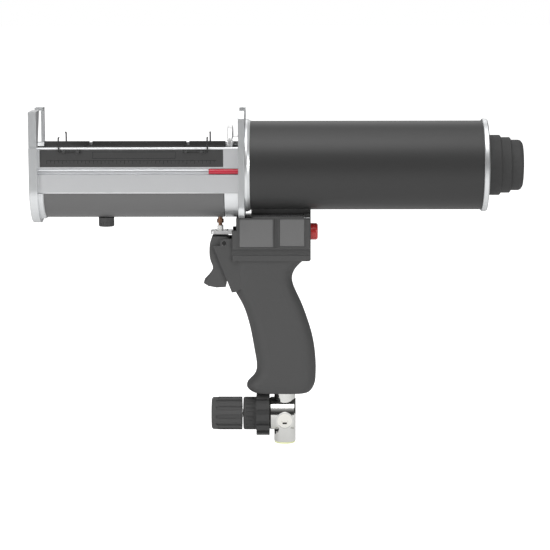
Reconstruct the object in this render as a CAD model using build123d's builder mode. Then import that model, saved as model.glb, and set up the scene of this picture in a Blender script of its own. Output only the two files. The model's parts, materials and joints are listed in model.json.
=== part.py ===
from build123d import *
import os

# Pneumatic two-component cartridge gun.
# Frame: millimetres, +X towards the rear of the gun, +Z up, -Y the near side. The origin is on the
# front plate's rear face, where a cartridge's shoulder seats, on the axis of the air cylinder.

os.makedirs("parts", exist_ok=True)

# ---------------------------------------------------------------- driving dimensions
# Fits
RUNNING = 0.05            # radial clearance of a sliding or turning shaft
FREE = 0.3                # gap between pieces that pass without touching
SUNK = 0.2                # how deep a screw head sits below its face
CUT_PAST = 10.0           # how far a cut reaches past what it cuts
HEX_M3 = 1.45             # hexagon sockets, across corners halved
HEX_M4 = 1.9
HEX_M5 = 2.2
HEX_M6 = 2.9
HEX_DEPTH = 2.0
SMALL_HEX_DEPTH = 1.6
SEAT_GAP = 0.05           # gap of a curved seat

# Cradle that holds the two barrels, one above the other
BAY_LENGTH = 187.2        # front plate to rear block
CRADLE_HALF = 33.0        # outer faces of the side rails
RAIL_WALL = 5.8
RAIL_TOP = 21.0
RAIL_BOTTOM = -25.1
TROUGH_Z = -21.1          # centre of the half-round trough
TROUGH_R = 31.5
TROUGH_WALL = 3.0
TROUGH_END_GAP = 0.7
LINER_WALL = 1.2
LINER_TOP = 22.3
COLLAR_LENGTH = 5.5
COLLAR_STEP = 1.5
GROOVE_Z = -3.0           # indicator groove along the rails
GROOVE_DEPTH = 1.8        # groove centre below the rail's outer face
INDICATOR_R = 2.8
INDICATOR_TIP = 171.7
SCALE_LOW = 1.6
SCALE_HIGH = 19.1
SCALE_FRONT = 2.6
SCALE_REAR_MARGIN = 0.9   # panel end to rear block
SCALE_DEPTH = 1.0
SCALE_PLATE = 0.9

# Front plate
PLATE_T = 8.2
PLATE_HALF = 37.0
ARM_OUT = 35.0
ARM_TOP = 57.0
ARM_IN_TOP = 9.0
ARM_IN_LOW = 27.0
SLOT_R = 16.0             # nose slot's round bottom
SLOT_Z = -2.0
POST_T = 3.4              # thin far arm
POST_WIDTH = 5.0
LIP_T = 2.6
LIP_IN = 18.0

# Rear block, flange plate and air cylinder
BLOCK_T = 13.9
BLOCK_TOP = 20.0
FLANGE_T = 6.2
FLANGE_BOTTOM = -51.0
FLANGE_MID = 40.0
EAR_IN = 19.0
EAR_CHAMFER = 7.0
CAP_T = 5.5
CAP_R = 47.0
SPIGOT = 14.0
TUBE_R = 45.0
TUBE_WALL = 2.5
TUBE_LENGTH = 233.9
END_T = 5.3
END_SPIGOT = 6.0
ORING = 2.6

# Thrust parts
ROD_R = 8.0
UPPER_Z = 22.3
LOWER_Z = -21.0
UPPER_DISC_R = 18.5
LOWER_DISC_R = 23.5
DISC_T = 5.3
DISC_SETBACK = 2.7        # discs' front faces behind the rear block's front face
DISC_CLEAR = 0.8
PISTON_T = 20.0
PISTON_PARK = 10.7        # rear face of the parked piston ahead of the end cap's spigot
ROD_STUB_R = 6.0
NUT_T = 7.0
NUT_AF = 19.0
BUSH_R = 10.0
BUSH_LENGTH = 11.7

# Rear cap of the cylinder, three steps
REAR_STEPS = ((30.5, 13.7), (28.2, 10.1), (25.6, 12.2))
REAR_WALL = 4.2

# Head and grip
HEAD_FRONT = 198.3
HEAD_STEP_X = 4.3
HEAD_STEP_Z = -65.0
HEAD_REAR = 273.9
HEAD_TOP = -53.0
HEAD_RAISED = -50.2
HEAD_BOTTOM = -96.0
HEAD_HALF = 19.0
SADDLE_HALF = 13.0
SADDLE_FLANGE = 1.4
SADDLE_END = 6.3
LABEL_DEPTH = 0.8
LABEL_PLATE = 0.5
WAIST_Z = -87.0
WAIST_R = 3.4

# Each grip section: height, front edge, rear edge, half width
GRIP = (
    (-92.0, 193.5, 272.0, 17.6),
    (-97.5, 193.0, 266.0, 17.8),
    (-106.6, 193.2, 257.6, 17.3),
    (-116.0, 193.8, 254.8, 16.8),
    (-127.0, 196.0, 257.6, 16.8),
    (-140.0, 202.9, 263.6, 17.2),
    (-157.0, 209.4, 270.0, 17.7),
    (-175.0, 213.6, 275.4, 18.1),
    (-193.0, 216.7, 278.4, 18.2),
    (-208.0, 218.4, 279.3, 18.0),
    (-217.0, 215.6, 279.1, 17.7),
    (-225.0, 208.6, 278.0, 17.2),
    (-231.0, 209.8, 275.2, 16.0),
    (-234.3, 217.0, 269.0, 13.5),
)
GRIP_ROUND = 0.86         # corner radius of a grip section over its half width
GRIP_WALL = 3.5

# Trigger and its valve
PIVOT_X = 186.0
PIVOT_Z = -78.0
PIN_R = 2.5
TRIGGER_HALF = 12.5
CHEEK_HALF = 15.5
STEM_Z = -88.0
STEM_R = 3.0
STEM_TIP = 192.5
CHAMBER_R = 4.6
VALVE_X0 = 203.0
VALVE_X1 = 262.0
VALVE_HALF = 12.0
VALVE_TOP = -57.0
VALVE_BOTTOM = -94.0

# Release button
BUTTON_Z = -67.8
BUTTON_R = 8.6
BUTTON_OUT = 7.3
BUTTON_TRAVEL = 3.5

# Regulator under the grip
INLET_X = 247.2
REG_Z = -257.6
REG_R = 17.0
REG_X0 = 231.4
REG_X1 = 258.4
NIPPLE_R = 10.9
NIPPLE_STUB_R = 7.0
INLET_R = 11.15
INLET_BOTTOM = -286.0
INLET_THREAD_R = 6.58
INLET_THREAD_DEPTH = 12.0
BONNET_X0 = 204.5
COLLAR_X1 = 218.0
NECK_R = 15.0
NUT_R = 22.75
NUT_LOBES = 12
KNOB_X0 = 171.7
KNOB_X1 = 203.1
KNOB_R = 16.7
KNOB_FLUTES = 12
SPINDLE_R = 4.0
GAUGE_Z = -262.0
GAUGE_R = 7.5

# ---------------------------------------------------------------- worked-out places
BLOCK_X = BAY_LENGTH
FLANGE_X = BLOCK_X + BLOCK_T
CAP_X = FLANGE_X + FLANGE_T
TUBE_X = CAP_X + CAP_T
TUBE_END = TUBE_X + TUBE_LENGTH
END_X = TUBE_END + END_T
BORE_R = TUBE_R - TUBE_WALL
SPIGOT_R = BORE_R - RUNNING
TROUGH_X = COLLAR_LENGTH
TROUGH_END = BAY_LENGTH - TROUGH_END_GAP
TROUGH_INNER_R = TROUGH_R - TROUGH_WALL
RAIL_INNER = CRADLE_HALF - RAIL_WALL
LINER_INNER = RAIL_INNER - LINER_WALL
GROOVE_Y = CRADLE_HALF - GROOVE_DEPTH
GROOVE_R = INDICATOR_R + FREE
DISC_X = BLOCK_X + DISC_SETBACK
DISC_REAR = DISC_X + DISC_T
PISTON_REAR = TUBE_END - END_SPIGOT - PISTON_PARK
PISTON_X = PISTON_REAR - PISTON_T
SCALE_REAR = BAY_LENGTH - SCALE_REAR_MARGIN
SLOT_NECK = 10.0
SLOT_LIP = 1.0
SIDES = {"near": -1, "far": 1}


def write(piece, label):
    """Label one finished piece and write its STEP file."""
    piece.part.label = label
    export_step(piece.part, f"parts/{label}.step")


def turned(points):
    """A solid of revolution about the X axis from (x, radius) points."""
    with BuildPart() as body:
        with BuildSketch(Plane.XZ):
            Polygon(*points, align=None)
        revolve(axis=Axis.X)
    return body.part


# ---------------------------------------------------------------- front plate
RAIL_SCREW_Y = CRADLE_HALF - RAIL_WALL / 2
RAIL_SCREWS = [(side * RAIL_SCREW_Y, z) for side in (-1, 1) for z in (-16.0, 11.0)]
M3_R = 1.5
M3_HEAD_R = 2.7
M3_HEAD = 3.0
RAIL_SCREW_DEPTH = 9.0

with BuildPart() as front_plate:
    with BuildSketch(Plane.YZ.offset(-PLATE_T)):
        with Locations((0, TROUGH_Z)):
            Circle(PLATE_HALF)
        with Locations((0, (RAIL_TOP + TROUGH_Z) / 2)):
            Rectangle(2 * PLATE_HALF, RAIL_TOP - TROUGH_Z)
        Polygon(
            (-ARM_OUT, 0), (-ARM_OUT, ARM_TOP), (-ARM_IN_TOP, ARM_TOP), (-ARM_IN_LOW, RAIL_TOP),
            (-ARM_IN_LOW, 0), align=None,
        )
        with Locations((0, SLOT_Z)):
            Circle(SLOT_R, mode=Mode.SUBTRACT)
        Polygon(
            (-SLOT_R, SLOT_Z), (-SLOT_R, RAIL_TOP - SLOT_NECK),
            (-ARM_IN_LOW, RAIL_TOP), (-ARM_IN_LOW, RAIL_TOP + SLOT_LIP),
            (ARM_IN_LOW, RAIL_TOP + SLOT_LIP), (ARM_IN_LOW, RAIL_TOP),
            (SLOT_R, RAIL_TOP - SLOT_NECK), (SLOT_R, SLOT_Z),
            align=None, mode=Mode.SUBTRACT,
        )
    extrude(amount=PLATE_T)
    with BuildSketch(Plane.YZ.offset(-POST_T)):
        with Locations((ARM_OUT - POST_WIDTH / 2, (RAIL_TOP + ARM_TOP) / 2 - 1)):
            Rectangle(POST_WIDTH, ARM_TOP - RAIL_TOP + 2)
    extrude(amount=POST_T)
    with BuildSketch(Plane.YZ.offset(-PLATE_T)):
        with Locations(((ARM_OUT + LIP_IN) / 2, ARM_TOP - LIP_T / 2)):
            Rectangle(ARM_OUT - LIP_IN, LIP_T)
    extrude(amount=PLATE_T)
    chamfer(front_plate.faces().sort_by(Axis.X)[0].edges(), 0.5)
    with BuildSketch(Plane.YZ.offset(-PLATE_T)):
        with Locations(*RAIL_SCREWS):
            Circle(M3_HEAD_R)
    extrude(amount=M3_HEAD, mode=Mode.SUBTRACT)
    with BuildSketch(Plane.YZ.offset(-PLATE_T)):
        with Locations(*RAIL_SCREWS):
            Circle(M3_R)
    extrude(amount=PLATE_T, mode=Mode.SUBTRACT)
write(front_plate, "front_plate")

with BuildPart() as rail_screws:
    with BuildSketch(Plane.YZ.offset(-PLATE_T + FREE)):
        with Locations(*RAIL_SCREWS):
            Circle(M3_HEAD_R - RUNNING)
    extrude(amount=M3_HEAD - FREE)
    with BuildSketch(Plane.YZ.offset(-PLATE_T + M3_HEAD)):
        with Locations(*RAIL_SCREWS):
            Circle(M3_R)
    extrude(amount=PLATE_T - M3_HEAD + RAIL_SCREW_DEPTH)
    with BuildSketch(Plane.YZ.offset(-PLATE_T + FREE)):
        with Locations(*RAIL_SCREWS):
            RegularPolygon(radius=HEX_M3, side_count=6)
    extrude(amount=SMALL_HEX_DEPTH, mode=Mode.SUBTRACT)
write(rail_screws, "rail_screws")

COLLAR_BEVEL = 0.9

with BuildPart() as front_collar:
    with BuildSketch(Plane.YZ):
        with Locations((0, TROUGH_Z)):
            Circle(TROUGH_R + COLLAR_STEP)
            Circle(TROUGH_INNER_R, mode=Mode.SUBTRACT)
        with Locations((0, RAIL_BOTTOM + TROUGH_R)):
            Rectangle(3 * TROUGH_R, 2 * TROUGH_R, mode=Mode.SUBTRACT)
    extrude(amount=COLLAR_LENGTH)
    collar_rims = front_collar.edges().filter_by(GeomType.CIRCLE).group_by(Axis.X)[-1]
    chamfer(collar_rims.sort_by(SortBy.RADIUS)[-1], COLLAR_BEVEL)
write(front_collar, "front_collar")

# ---------------------------------------------------------------- side rails and scale panels
RAIL_LOW_BEVEL = 1.2
RAIL_TOP_BEVEL = 0.6

for name, side in SIDES.items():
    with BuildPart() as side_rail:
        with BuildSketch(Plane.YZ):
            with Locations((side * (CRADLE_HALF - RAIL_WALL / 2), (RAIL_TOP + RAIL_BOTTOM) / 2)):
                Rectangle(RAIL_WALL, RAIL_TOP - RAIL_BOTTOM)
            with Locations((side * GROOVE_Y, GROOVE_Z)):
                Circle(GROOVE_R, mode=Mode.SUBTRACT)
            with Locations((side * (GROOVE_Y + GROOVE_R), GROOVE_Z)):
                Rectangle(2 * GROOVE_R, 2 * GROOVE_R, mode=Mode.SUBTRACT)
        extrude(amount=FLANGE_X)
        outer_edge = 0 if side < 0 else -1
        for level, bevel in ((0, RAIL_LOW_BEVEL), (-1, RAIL_TOP_BEVEL)):
            long_edges = side_rail.edges().filter_by(Axis.X).group_by(Axis.Z)[level]
            chamfer(long_edges.sort_by(Axis.Y)[outer_edge], bevel)
        with BuildSketch(Plane.XZ.offset(-side * (CRADLE_HALF - SCALE_DEPTH))):
            with Locations(((SCALE_FRONT + SCALE_REAR) / 2, (SCALE_LOW + SCALE_HIGH) / 2)):
                Rectangle(SCALE_REAR - SCALE_FRONT, SCALE_HIGH - SCALE_LOW)
        extrude(amount=-side * SCALE_DEPTH, mode=Mode.SUBTRACT)
        with BuildSketch(Plane.YZ):
            with Locations(*[place for place in RAIL_SCREWS if place[0] * side > 0]):
                Circle(M3_R)
        extrude(amount=RAIL_SCREW_DEPTH, mode=Mode.SUBTRACT)
        with BuildSketch(Plane.YZ.offset(FLANGE_X - RAIL_SCREW_DEPTH)):
            with Locations(*[place for place in RAIL_SCREWS if place[0] * side > 0]):
                Circle(M3_R)
        extrude(amount=RAIL_SCREW_DEPTH, mode=Mode.SUBTRACT)
    write(side_rail, f"side_rail_{name}")

with BuildPart() as scale_panels:
    for side in SIDES.values():
        with BuildSketch(Plane.XZ.offset(-side * (CRADLE_HALF - SCALE_DEPTH))):
            with Locations(((SCALE_FRONT + SCALE_REAR) / 2, (SCALE_LOW + SCALE_HIGH) / 2)):
                Rectangle(SCALE_REAR - SCALE_FRONT, SCALE_HIGH - SCALE_LOW)
        extrude(amount=-side * SCALE_PLATE)
write(scale_panels, "scale_panels")

# ---------------------------------------------------------------- trough, liner and lock knob
LOCK_X = 65.5
LOCK_R = 7.9
LOCK_STEM_R = 3.0
LOCK_HEIGHT = 9.3
LOCK_BAR = 9.6
LOCK_POCKET_R = 5.6
LOCK_ROUND = 1.0
LOCK_RIB_R = 0.9
LOCK_RIBS = 20
LOCK_RIB_PITCH = LOCK_R + 0.5
LOCK_RIB_LENGTH = 0.55 * LOCK_HEIGHT
LOCK_COIN_SLOT = 1.6
LOCK_COIN_DEPTH = 1.4
LOCK_BAR_RISE = 0.9       # lets the bar turn across the half-round trough
LOCK_BAR_T = 1.4
TROUGH_FLOOR = TROUGH_Z - TROUGH_R
LINER_FLOOR = TROUGH_Z - TROUGH_INNER_R
NOTCHES = (48.2, 147.8)
NOTCH_WIDTH = 3.0
NOTCH_DEPTH = 4.0

with BuildPart() as trough:
    with BuildSketch(Plane.YZ.offset(TROUGH_X)):
        with Locations((0, TROUGH_Z)):
            Circle(TROUGH_R)
            Circle(TROUGH_INNER_R, mode=Mode.SUBTRACT)
        with Locations((0, RAIL_BOTTOM + TROUGH_R)):
            Rectangle(3 * TROUGH_R, 2 * TROUGH_R, mode=Mode.SUBTRACT)
    extrude(amount=TROUGH_END - TROUGH_X)
    with BuildSketch(Plane.XY.offset(TROUGH_FLOOR - 1)):
        with Locations((LOCK_X, 0)):
            Circle(LOCK_STEM_R + RUNNING)
    extrude(amount=TROUGH_WALL + 2, mode=Mode.SUBTRACT)
write(trough, "trough")

with BuildPart() as cradle_liner:
    with BuildSketch(Plane.YZ):
        with Locations((0, TROUGH_Z)):
            Circle(TROUGH_INNER_R)
        with Locations((0, RAIL_BOTTOM + TROUGH_R)):
            Rectangle(3 * TROUGH_R, 2 * TROUGH_R, mode=Mode.SUBTRACT)
        with Locations((0, TROUGH_Z)):
            Circle(RAIL_INNER)
        with Locations((0, (LINER_TOP + TROUGH_Z) / 2)):
            Rectangle(2 * RAIL_INNER, LINER_TOP - TROUGH_Z)
        with Locations((0, TROUGH_Z)):
            Circle(LINER_INNER, mode=Mode.SUBTRACT)
        with Locations((0, (LINER_TOP + TROUGH_Z) / 2 + CUT_PAST / 2)):
            Rectangle(2 * LINER_INNER, LINER_TOP - TROUGH_Z + CUT_PAST, mode=Mode.SUBTRACT)
    extrude(amount=TROUGH_END)
    for notch_x in NOTCHES:
        with BuildSketch(Plane.XY.offset(LINER_TOP - NOTCH_DEPTH)):
            with Locations((notch_x, 0)):
                Rectangle(NOTCH_WIDTH, 3 * RAIL_INNER)
        extrude(amount=NOTCH_DEPTH + 1, mode=Mode.SUBTRACT)
    with BuildSketch(Plane.XY.offset(LINER_FLOOR - 1)):
        with Locations((LOCK_X, 0)):
            Circle(LOCK_POCKET_R)
    extrude(amount=2 + TROUGH_INNER_R - LINER_INNER, mode=Mode.SUBTRACT)
write(cradle_liner, "cradle_liner")

with BuildPart() as trough_lock_knob:
    with BuildSketch(Plane.XY.offset(TROUGH_FLOOR - FREE - LOCK_HEIGHT)):
        with Locations((LOCK_X, 0)):
            Circle(LOCK_R)
    extrude(amount=LOCK_HEIGHT)
    fillet(trough_lock_knob.faces().sort_by(Axis.Z)[0].edges(), LOCK_ROUND)
    with BuildSketch(Plane.XY.offset(TROUGH_FLOOR - FREE - LOCK_HEIGHT)):
        with Locations((LOCK_X, 0)):
            with PolarLocations(LOCK_RIB_PITCH, LOCK_RIBS):
                Circle(LOCK_RIB_R)
    extrude(amount=LOCK_RIB_LENGTH, mode=Mode.SUBTRACT)
    with BuildSketch(Plane.XY.offset(TROUGH_FLOOR - FREE - LOCK_HEIGHT)):
        with Locations((LOCK_X, 0)):
            Rectangle(2 * (LOCK_R - LOCK_POCKET_R / 2), LOCK_COIN_SLOT)
    extrude(amount=LOCK_COIN_DEPTH, mode=Mode.SUBTRACT)
    with BuildSketch(Plane.XY.offset(TROUGH_FLOOR - FREE)):
        with Locations((LOCK_X, 0)):
            Circle(LOCK_STEM_R)
    extrude(amount=FREE + TROUGH_WALL + LOCK_BAR_RISE + LOCK_BAR_T)
    with BuildSketch(Plane.XY.offset(LINER_FLOOR + LOCK_BAR_RISE)):
        with Locations((LOCK_X, 0)):
            RectangleRounded(LOCK_BAR, 2 * LOCK_STEM_R - 1, LOCK_ROUND)
    extrude(amount=LOCK_BAR_T)
write(trough_lock_knob, "trough_lock_knob")

# ---------------------------------------------------------------- wire clips on the rails
WIRE_R = 0.75
CLIP_Z = 16.7
CLIP_TOP = 31.0
CLIP_HOOK = 5.5
CLIP_BARS = {"front": (23.9, 43.9, 21.8), "rear": (167.7, 145.8, 170.5)}
LUG_LENGTH = 3.0
LUG_HALF = 1.6
CLIP_Y = CRADLE_HALF + LUG_HALF

LUG_INSET = 3.2
WIRE_BEND = 1.6

with BuildPart() as clip_saddles:
    for bar_start, bar_end, upright in CLIP_BARS.values():
        step = 1 if bar_end > bar_start else -1
        for side in SIDES.values():
            for lug_x in (bar_start + step * LUG_INSET, bar_end - step * LUG_INSET):
                with BuildSketch(Plane.YZ.offset(lug_x - LUG_LENGTH / 2)):
                    with Locations((side * (CLIP_Y + CRADLE_HALF - SCALE_DEPTH + SCALE_PLATE) / 2, CLIP_Z)):
                        Rectangle(CLIP_Y - CRADLE_HALF + SCALE_DEPTH - SCALE_PLATE, 2 * LUG_HALF)
                    with Locations((side * CLIP_Y, CLIP_Z)):
                        Circle(LUG_HALF)
                        Circle(WIRE_R + RUNNING, mode=Mode.SUBTRACT)
                extrude(amount=LUG_LENGTH)
write(clip_saddles, "clip_saddles")

for place, (bar_start, bar_end, upright) in CLIP_BARS.items():
    for name, side in SIDES.items():
        step = 1 if bar_end > bar_start else -1
        with BuildPart() as clip_wire:
            with BuildLine() as wire_path:
                FilletPolyline(
                    (bar_end, side * CLIP_Y, CLIP_Z),
                    (upright, side * CLIP_Y, CLIP_Z),
                    (upright, side * CLIP_Y, CLIP_TOP),
                    (upright, side * (CLIP_Y - CLIP_HOOK), CLIP_TOP),
                    radius=WIRE_BEND,
                )
            with BuildSketch(Plane(origin=wire_path.line @ 0, z_dir=wire_path.line % 0)):
                Circle(WIRE_R)
            sweep()
        write(clip_wire, f"clip_wire_{place}_{name}")

# ---------------------------------------------------------------- rear block and flange plate
BLOCK_SCREWS = [(side * y, z) for side in (-1, 1) for y, z in ((23.3, 8.0), (19.5, -40.5))]
CAP_SCREWS = [(side * y, z) for side in (-1, 1) for y, z in ((26.0, 32.0), (27.0, -31.0))]
M4_R = 2.0
M4_HEAD_R = 3.5
M4_HEAD = 3.6
M5_R = 2.5
M5_HEAD_R = 4.6
M5_HEAD = 2.8
BLOCK_SCREW_DEPTH = 9.0
CAP_SCREW_DEPTH = 4.5
ROD_HOLE_R = ROD_R + 1.0
INDICATOR_SPOT = (-GROOVE_Y, GROOVE_Z)
ROD_SPOTS = [(0, UPPER_Z), (0, LOWER_Z)]

with BuildPart() as rear_block:
    with BuildSketch(Plane.YZ.offset(BLOCK_X)):
        with Locations((0, TROUGH_Z)):
            Circle(TROUGH_R)
        with Locations((0, RAIL_BOTTOM + TROUGH_R)):
            Rectangle(3 * TROUGH_R, 2 * TROUGH_R, mode=Mode.SUBTRACT)
        with Locations((0, (BLOCK_TOP + RAIL_BOTTOM) / 2)):
            Rectangle(2 * RAIL_INNER, BLOCK_TOP - RAIL_BOTTOM)
        with Locations((0, LOWER_Z)):
            Circle(LOWER_DISC_R + DISC_CLEAR, mode=Mode.SUBTRACT)
        with Locations((0, (BLOCK_TOP + LOWER_Z) / 2 + 5)):
            Rectangle(2 * (UPPER_DISC_R + DISC_CLEAR), BLOCK_TOP - LOWER_Z + CUT_PAST, mode=Mode.SUBTRACT)
    extrude(amount=BLOCK_T)
    with BuildSketch(Plane.YZ.offset(FLANGE_X)):
        with Locations(*BLOCK_SCREWS):
            Circle(M4_R)
    extrude(amount=-BLOCK_SCREW_DEPTH, mode=Mode.SUBTRACT)
write(rear_block, "rear_block")

FLANGE_ROUND = 12.0

with BuildPart() as flange_plate:
    with BuildSketch(Plane.YZ.offset(FLANGE_X)) as flange_outline:
        with Locations((0, (FLANGE_MID + FLANGE_BOTTOM) / 2)):
            Rectangle(2 * ARM_OUT, FLANGE_MID - FLANGE_BOTTOM)
        for side in (-1, 1):
            Polygon(
                (side * ARM_OUT, FLANGE_MID - 5), (side * ARM_OUT, ARM_TOP - EAR_CHAMFER),
                (side * (ARM_OUT - EAR_CHAMFER), ARM_TOP), (side * EAR_IN, ARM_TOP),
                (side * EAR_IN, FLANGE_MID - 5), align=None,
            )
        fillet(flange_outline.vertices().group_by(Axis.Y)[0], FLANGE_ROUND)
        with Locations(*ROD_SPOTS):
            Circle(ROD_HOLE_R, mode=Mode.SUBTRACT)
        with Locations(INDICATOR_SPOT):
            Circle(GROOVE_R, mode=Mode.SUBTRACT)
    extrude(amount=FLANGE_T)
    chamfer(flange_plate.faces().sort_by(Axis.X)[0].outer_wire().edges(), 0.5)
    with BuildSketch(Plane.YZ.offset(CAP_X)):
        with Locations(*BLOCK_SCREWS):
            Circle(M4_HEAD_R)
        with Locations(*RAIL_SCREWS):
            Circle(M3_HEAD_R)
    extrude(amount=-M4_HEAD, mode=Mode.SUBTRACT)
    with BuildSketch(Plane.YZ.offset(CAP_X)):
        with Locations(*BLOCK_SCREWS):
            Circle(M4_R)
        with Locations(*RAIL_SCREWS):
            Circle(M3_R)
        with Locations(*CAP_SCREWS):
            Circle(M5_R)
    extrude(amount=-FLANGE_T, mode=Mode.SUBTRACT)
    with BuildSketch(Plane.YZ.offset(FLANGE_X)):
        with Locations(*CAP_SCREWS):
            Circle(M5_HEAD_R)
    extrude(amount=M5_HEAD, mode=Mode.SUBTRACT)
write(flange_plate, "flange_plate")

with BuildPart() as flange_screws:
    with BuildSketch(Plane.YZ.offset(CAP_X - SUNK)):
        with Locations(*BLOCK_SCREWS):
            Circle(M4_HEAD_R)
        with Locations(*RAIL_SCREWS):
            Circle(M3_HEAD_R)
    extrude(amount=-(M4_HEAD - SUNK))
    with BuildSketch(Plane.YZ.offset(CAP_X - M4_HEAD)):
        with Locations(*BLOCK_SCREWS):
            Circle(M4_R)
        with Locations(*RAIL_SCREWS):
            Circle(M3_R)
    extrude(amount=-(FLANGE_T - M4_HEAD + RAIL_SCREW_DEPTH))
    with BuildSketch(Plane.YZ.offset(FLANGE_X + SUNK)):
        with Locations(*CAP_SCREWS):
            Circle(M5_HEAD_R)
    extrude(amount=M5_HEAD - SUNK)
    with BuildSketch(Plane.YZ.offset(FLANGE_X + M5_HEAD)):
        with Locations(*CAP_SCREWS):
            Circle(M5_R)
    extrude(amount=FLANGE_T - M5_HEAD + CAP_SCREW_DEPTH)
    with BuildSketch(Plane.YZ.offset(FLANGE_X + SUNK)):
        with Locations(*CAP_SCREWS):
            RegularPolygon(radius=HEX_M5, side_count=6)
    extrude(amount=HEX_DEPTH, mode=Mode.SUBTRACT)
write(flange_screws, "flange_screws")

# ---------------------------------------------------------------- air cylinder
CAP_BEVEL = 1.0
CAP_LAND = 3.0            # straight part of the front cap's rim
CAP_LIP = 0.6
SEAL_GROOVE = ORING + 0.4
SEAL_GROOVE_R = SPIGOT_R - ORING + 0.4
FRONT_SEAL_X = TUBE_X + 5.0
END_SEAL_X = TUBE_END - 4.6
SEAL_CLEAR = 0.1
VENT_R = 4.0
REAR_BEVEL = 1.0
REAR_NOSE = ((4.0, 0.0), (1.6, 1.0), (0.0, 3.4))    # each point before the end, and in from the rim
FELT_BORE_R = 6.0

with BuildPart() as cylinder_front_cap:
    add(turned([
        (CAP_X, 0), (CAP_X, CAP_R - CAP_BEVEL), (CAP_X + CAP_BEVEL, CAP_R), (CAP_X + CAP_LAND, CAP_R),
        (TUBE_X, TUBE_R + CAP_LIP), (TUBE_X, SPIGOT_R),
        (FRONT_SEAL_X, SPIGOT_R), (FRONT_SEAL_X, SEAL_GROOVE_R),
        (FRONT_SEAL_X + SEAL_GROOVE, SEAL_GROOVE_R), (FRONT_SEAL_X + SEAL_GROOVE, SPIGOT_R),
        (TUBE_X + SPIGOT, SPIGOT_R), (TUBE_X + SPIGOT, 0),
    ]))
    with BuildSketch(Plane.YZ.offset(CAP_X)):
        with Locations(*ROD_SPOTS):
            Circle(BUSH_R)
        with Locations(INDICATOR_SPOT):
            Circle(INDICATOR_R + RUNNING)
    extrude(amount=CAP_T + SPIGOT, mode=Mode.SUBTRACT)
    with BuildSketch(Plane.YZ.offset(CAP_X)):
        with Locations(*CAP_SCREWS):
            Circle(M5_R)
    extrude(amount=CAP_SCREW_DEPTH, mode=Mode.SUBTRACT)
write(cylinder_front_cap, "cylinder_front_cap")

with BuildPart() as cylinder_tube:
    add(turned([(TUBE_X, BORE_R), (TUBE_X, TUBE_R), (TUBE_END, TUBE_R), (TUBE_END, BORE_R)]))
write(cylinder_tube, "cylinder_tube")

with BuildPart() as cylinder_end_cap:
    add(turned([
        (TUBE_END - END_SPIGOT, VENT_R), (TUBE_END - END_SPIGOT, SPIGOT_R), (END_SEAL_X, SPIGOT_R),
        (END_SEAL_X, SEAL_GROOVE_R), (END_SEAL_X + SEAL_GROOVE, SEAL_GROOVE_R),
        (END_SEAL_X + SEAL_GROOVE, SPIGOT_R),
        (TUBE_END, SPIGOT_R), (TUBE_END, CAP_R - CAP_LIP), (TUBE_END + CAP_LIP, CAP_R),
        (END_X - CAP_BEVEL, CAP_R), (END_X, CAP_R - CAP_BEVEL), (END_X, VENT_R),
    ]))
write(cylinder_end_cap, "cylinder_end_cap")

with BuildPart() as tube_seals:
    for seal_x in (FRONT_SEAL_X, END_SEAL_X):
        seal_x0, seal_x1 = seal_x + SEAL_CLEAR, seal_x + SEAL_GROOVE - SEAL_CLEAR
        add(turned([
            (seal_x0, SEAL_GROOVE_R), (seal_x0, SPIGOT_R), (seal_x1, SPIGOT_R), (seal_x1, SEAL_GROOVE_R),
        ]))
write(tube_seals, "tube_seals")

with BuildPart() as rear_cap:
    rear_points = [(END_X, REAR_STEPS[-1][0] - REAR_WALL)]
    step_x = END_X
    for step_r, step_length in REAR_STEPS[:-1]:
        rear_points += [(step_x, step_r), (step_x + step_length - REAR_BEVEL, step_r)]
        step_x += step_length
        rear_points += [(step_x, step_r - REAR_BEVEL)]
    last_r, last_length = REAR_STEPS[-1]
    rear_end = step_x + last_length
    rear_points += [(step_x, last_r)]
    rear_points += [(rear_end - back, last_r - inward) for back, inward in REAR_NOSE]
    rear_points += [(rear_end, 0), (rear_end - REAR_WALL, 0), (rear_end - REAR_WALL, last_r - REAR_WALL)]
    add(turned(rear_points))
write(rear_cap, "rear_cap")

with BuildPart() as silencer_felt:
    felt_r, felt_end = REAR_STEPS[-1][0] - REAR_WALL - FREE, rear_end - REAR_WALL - FREE
    felt_start = END_X + FREE
    add(turned([(felt_start, FELT_BORE_R), (felt_start, felt_r), (felt_end, felt_r), (felt_end, FELT_BORE_R)]))
write(silencer_felt, "silencer_felt")

with BuildPart() as rod_bushes:
    with BuildSketch(Plane.YZ.offset(CAP_X)):
        with Locations(*ROD_SPOTS):
            Circle(BUSH_R)
            Circle(ROD_R + RUNNING, mode=Mode.SUBTRACT)
    extrude(amount=BUSH_LENGTH)
write(rod_bushes, "rod_bushes")

with BuildPart() as rod_seals:
    with BuildSketch(Plane.YZ.offset(CAP_X + BUSH_LENGTH)):
        with Locations(*ROD_SPOTS):
            Circle(BUSH_R)
            Circle(ROD_R + RUNNING, mode=Mode.SUBTRACT)
    extrude(amount=CAP_T + SPIGOT - BUSH_LENGTH)
write(rod_seals, "rod_seals")

# ---------------------------------------------------------------- piston, rods and thrust discs
DISC_SCREW_R = 3.0
DISC_SCREW_HEAD_R = 5.0
DISC_SCREW_HEAD = 3.0
DISC_SCREW_DEPTH = 12.0
SEAL_X = PISTON_X + 13.5
SEAL_WIDTH = 4.4
SEAL_DEPTH = 4.0
GUIDE_X = PISTON_X + 4.0
GUIDE_WIDTH = 6.0
GUIDE_DEPTH = 1.5
PISTON_CLEAR = 0.3
INDICATOR_STUB_R = 2.0
INDICATOR_STUB = 8.0

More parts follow.
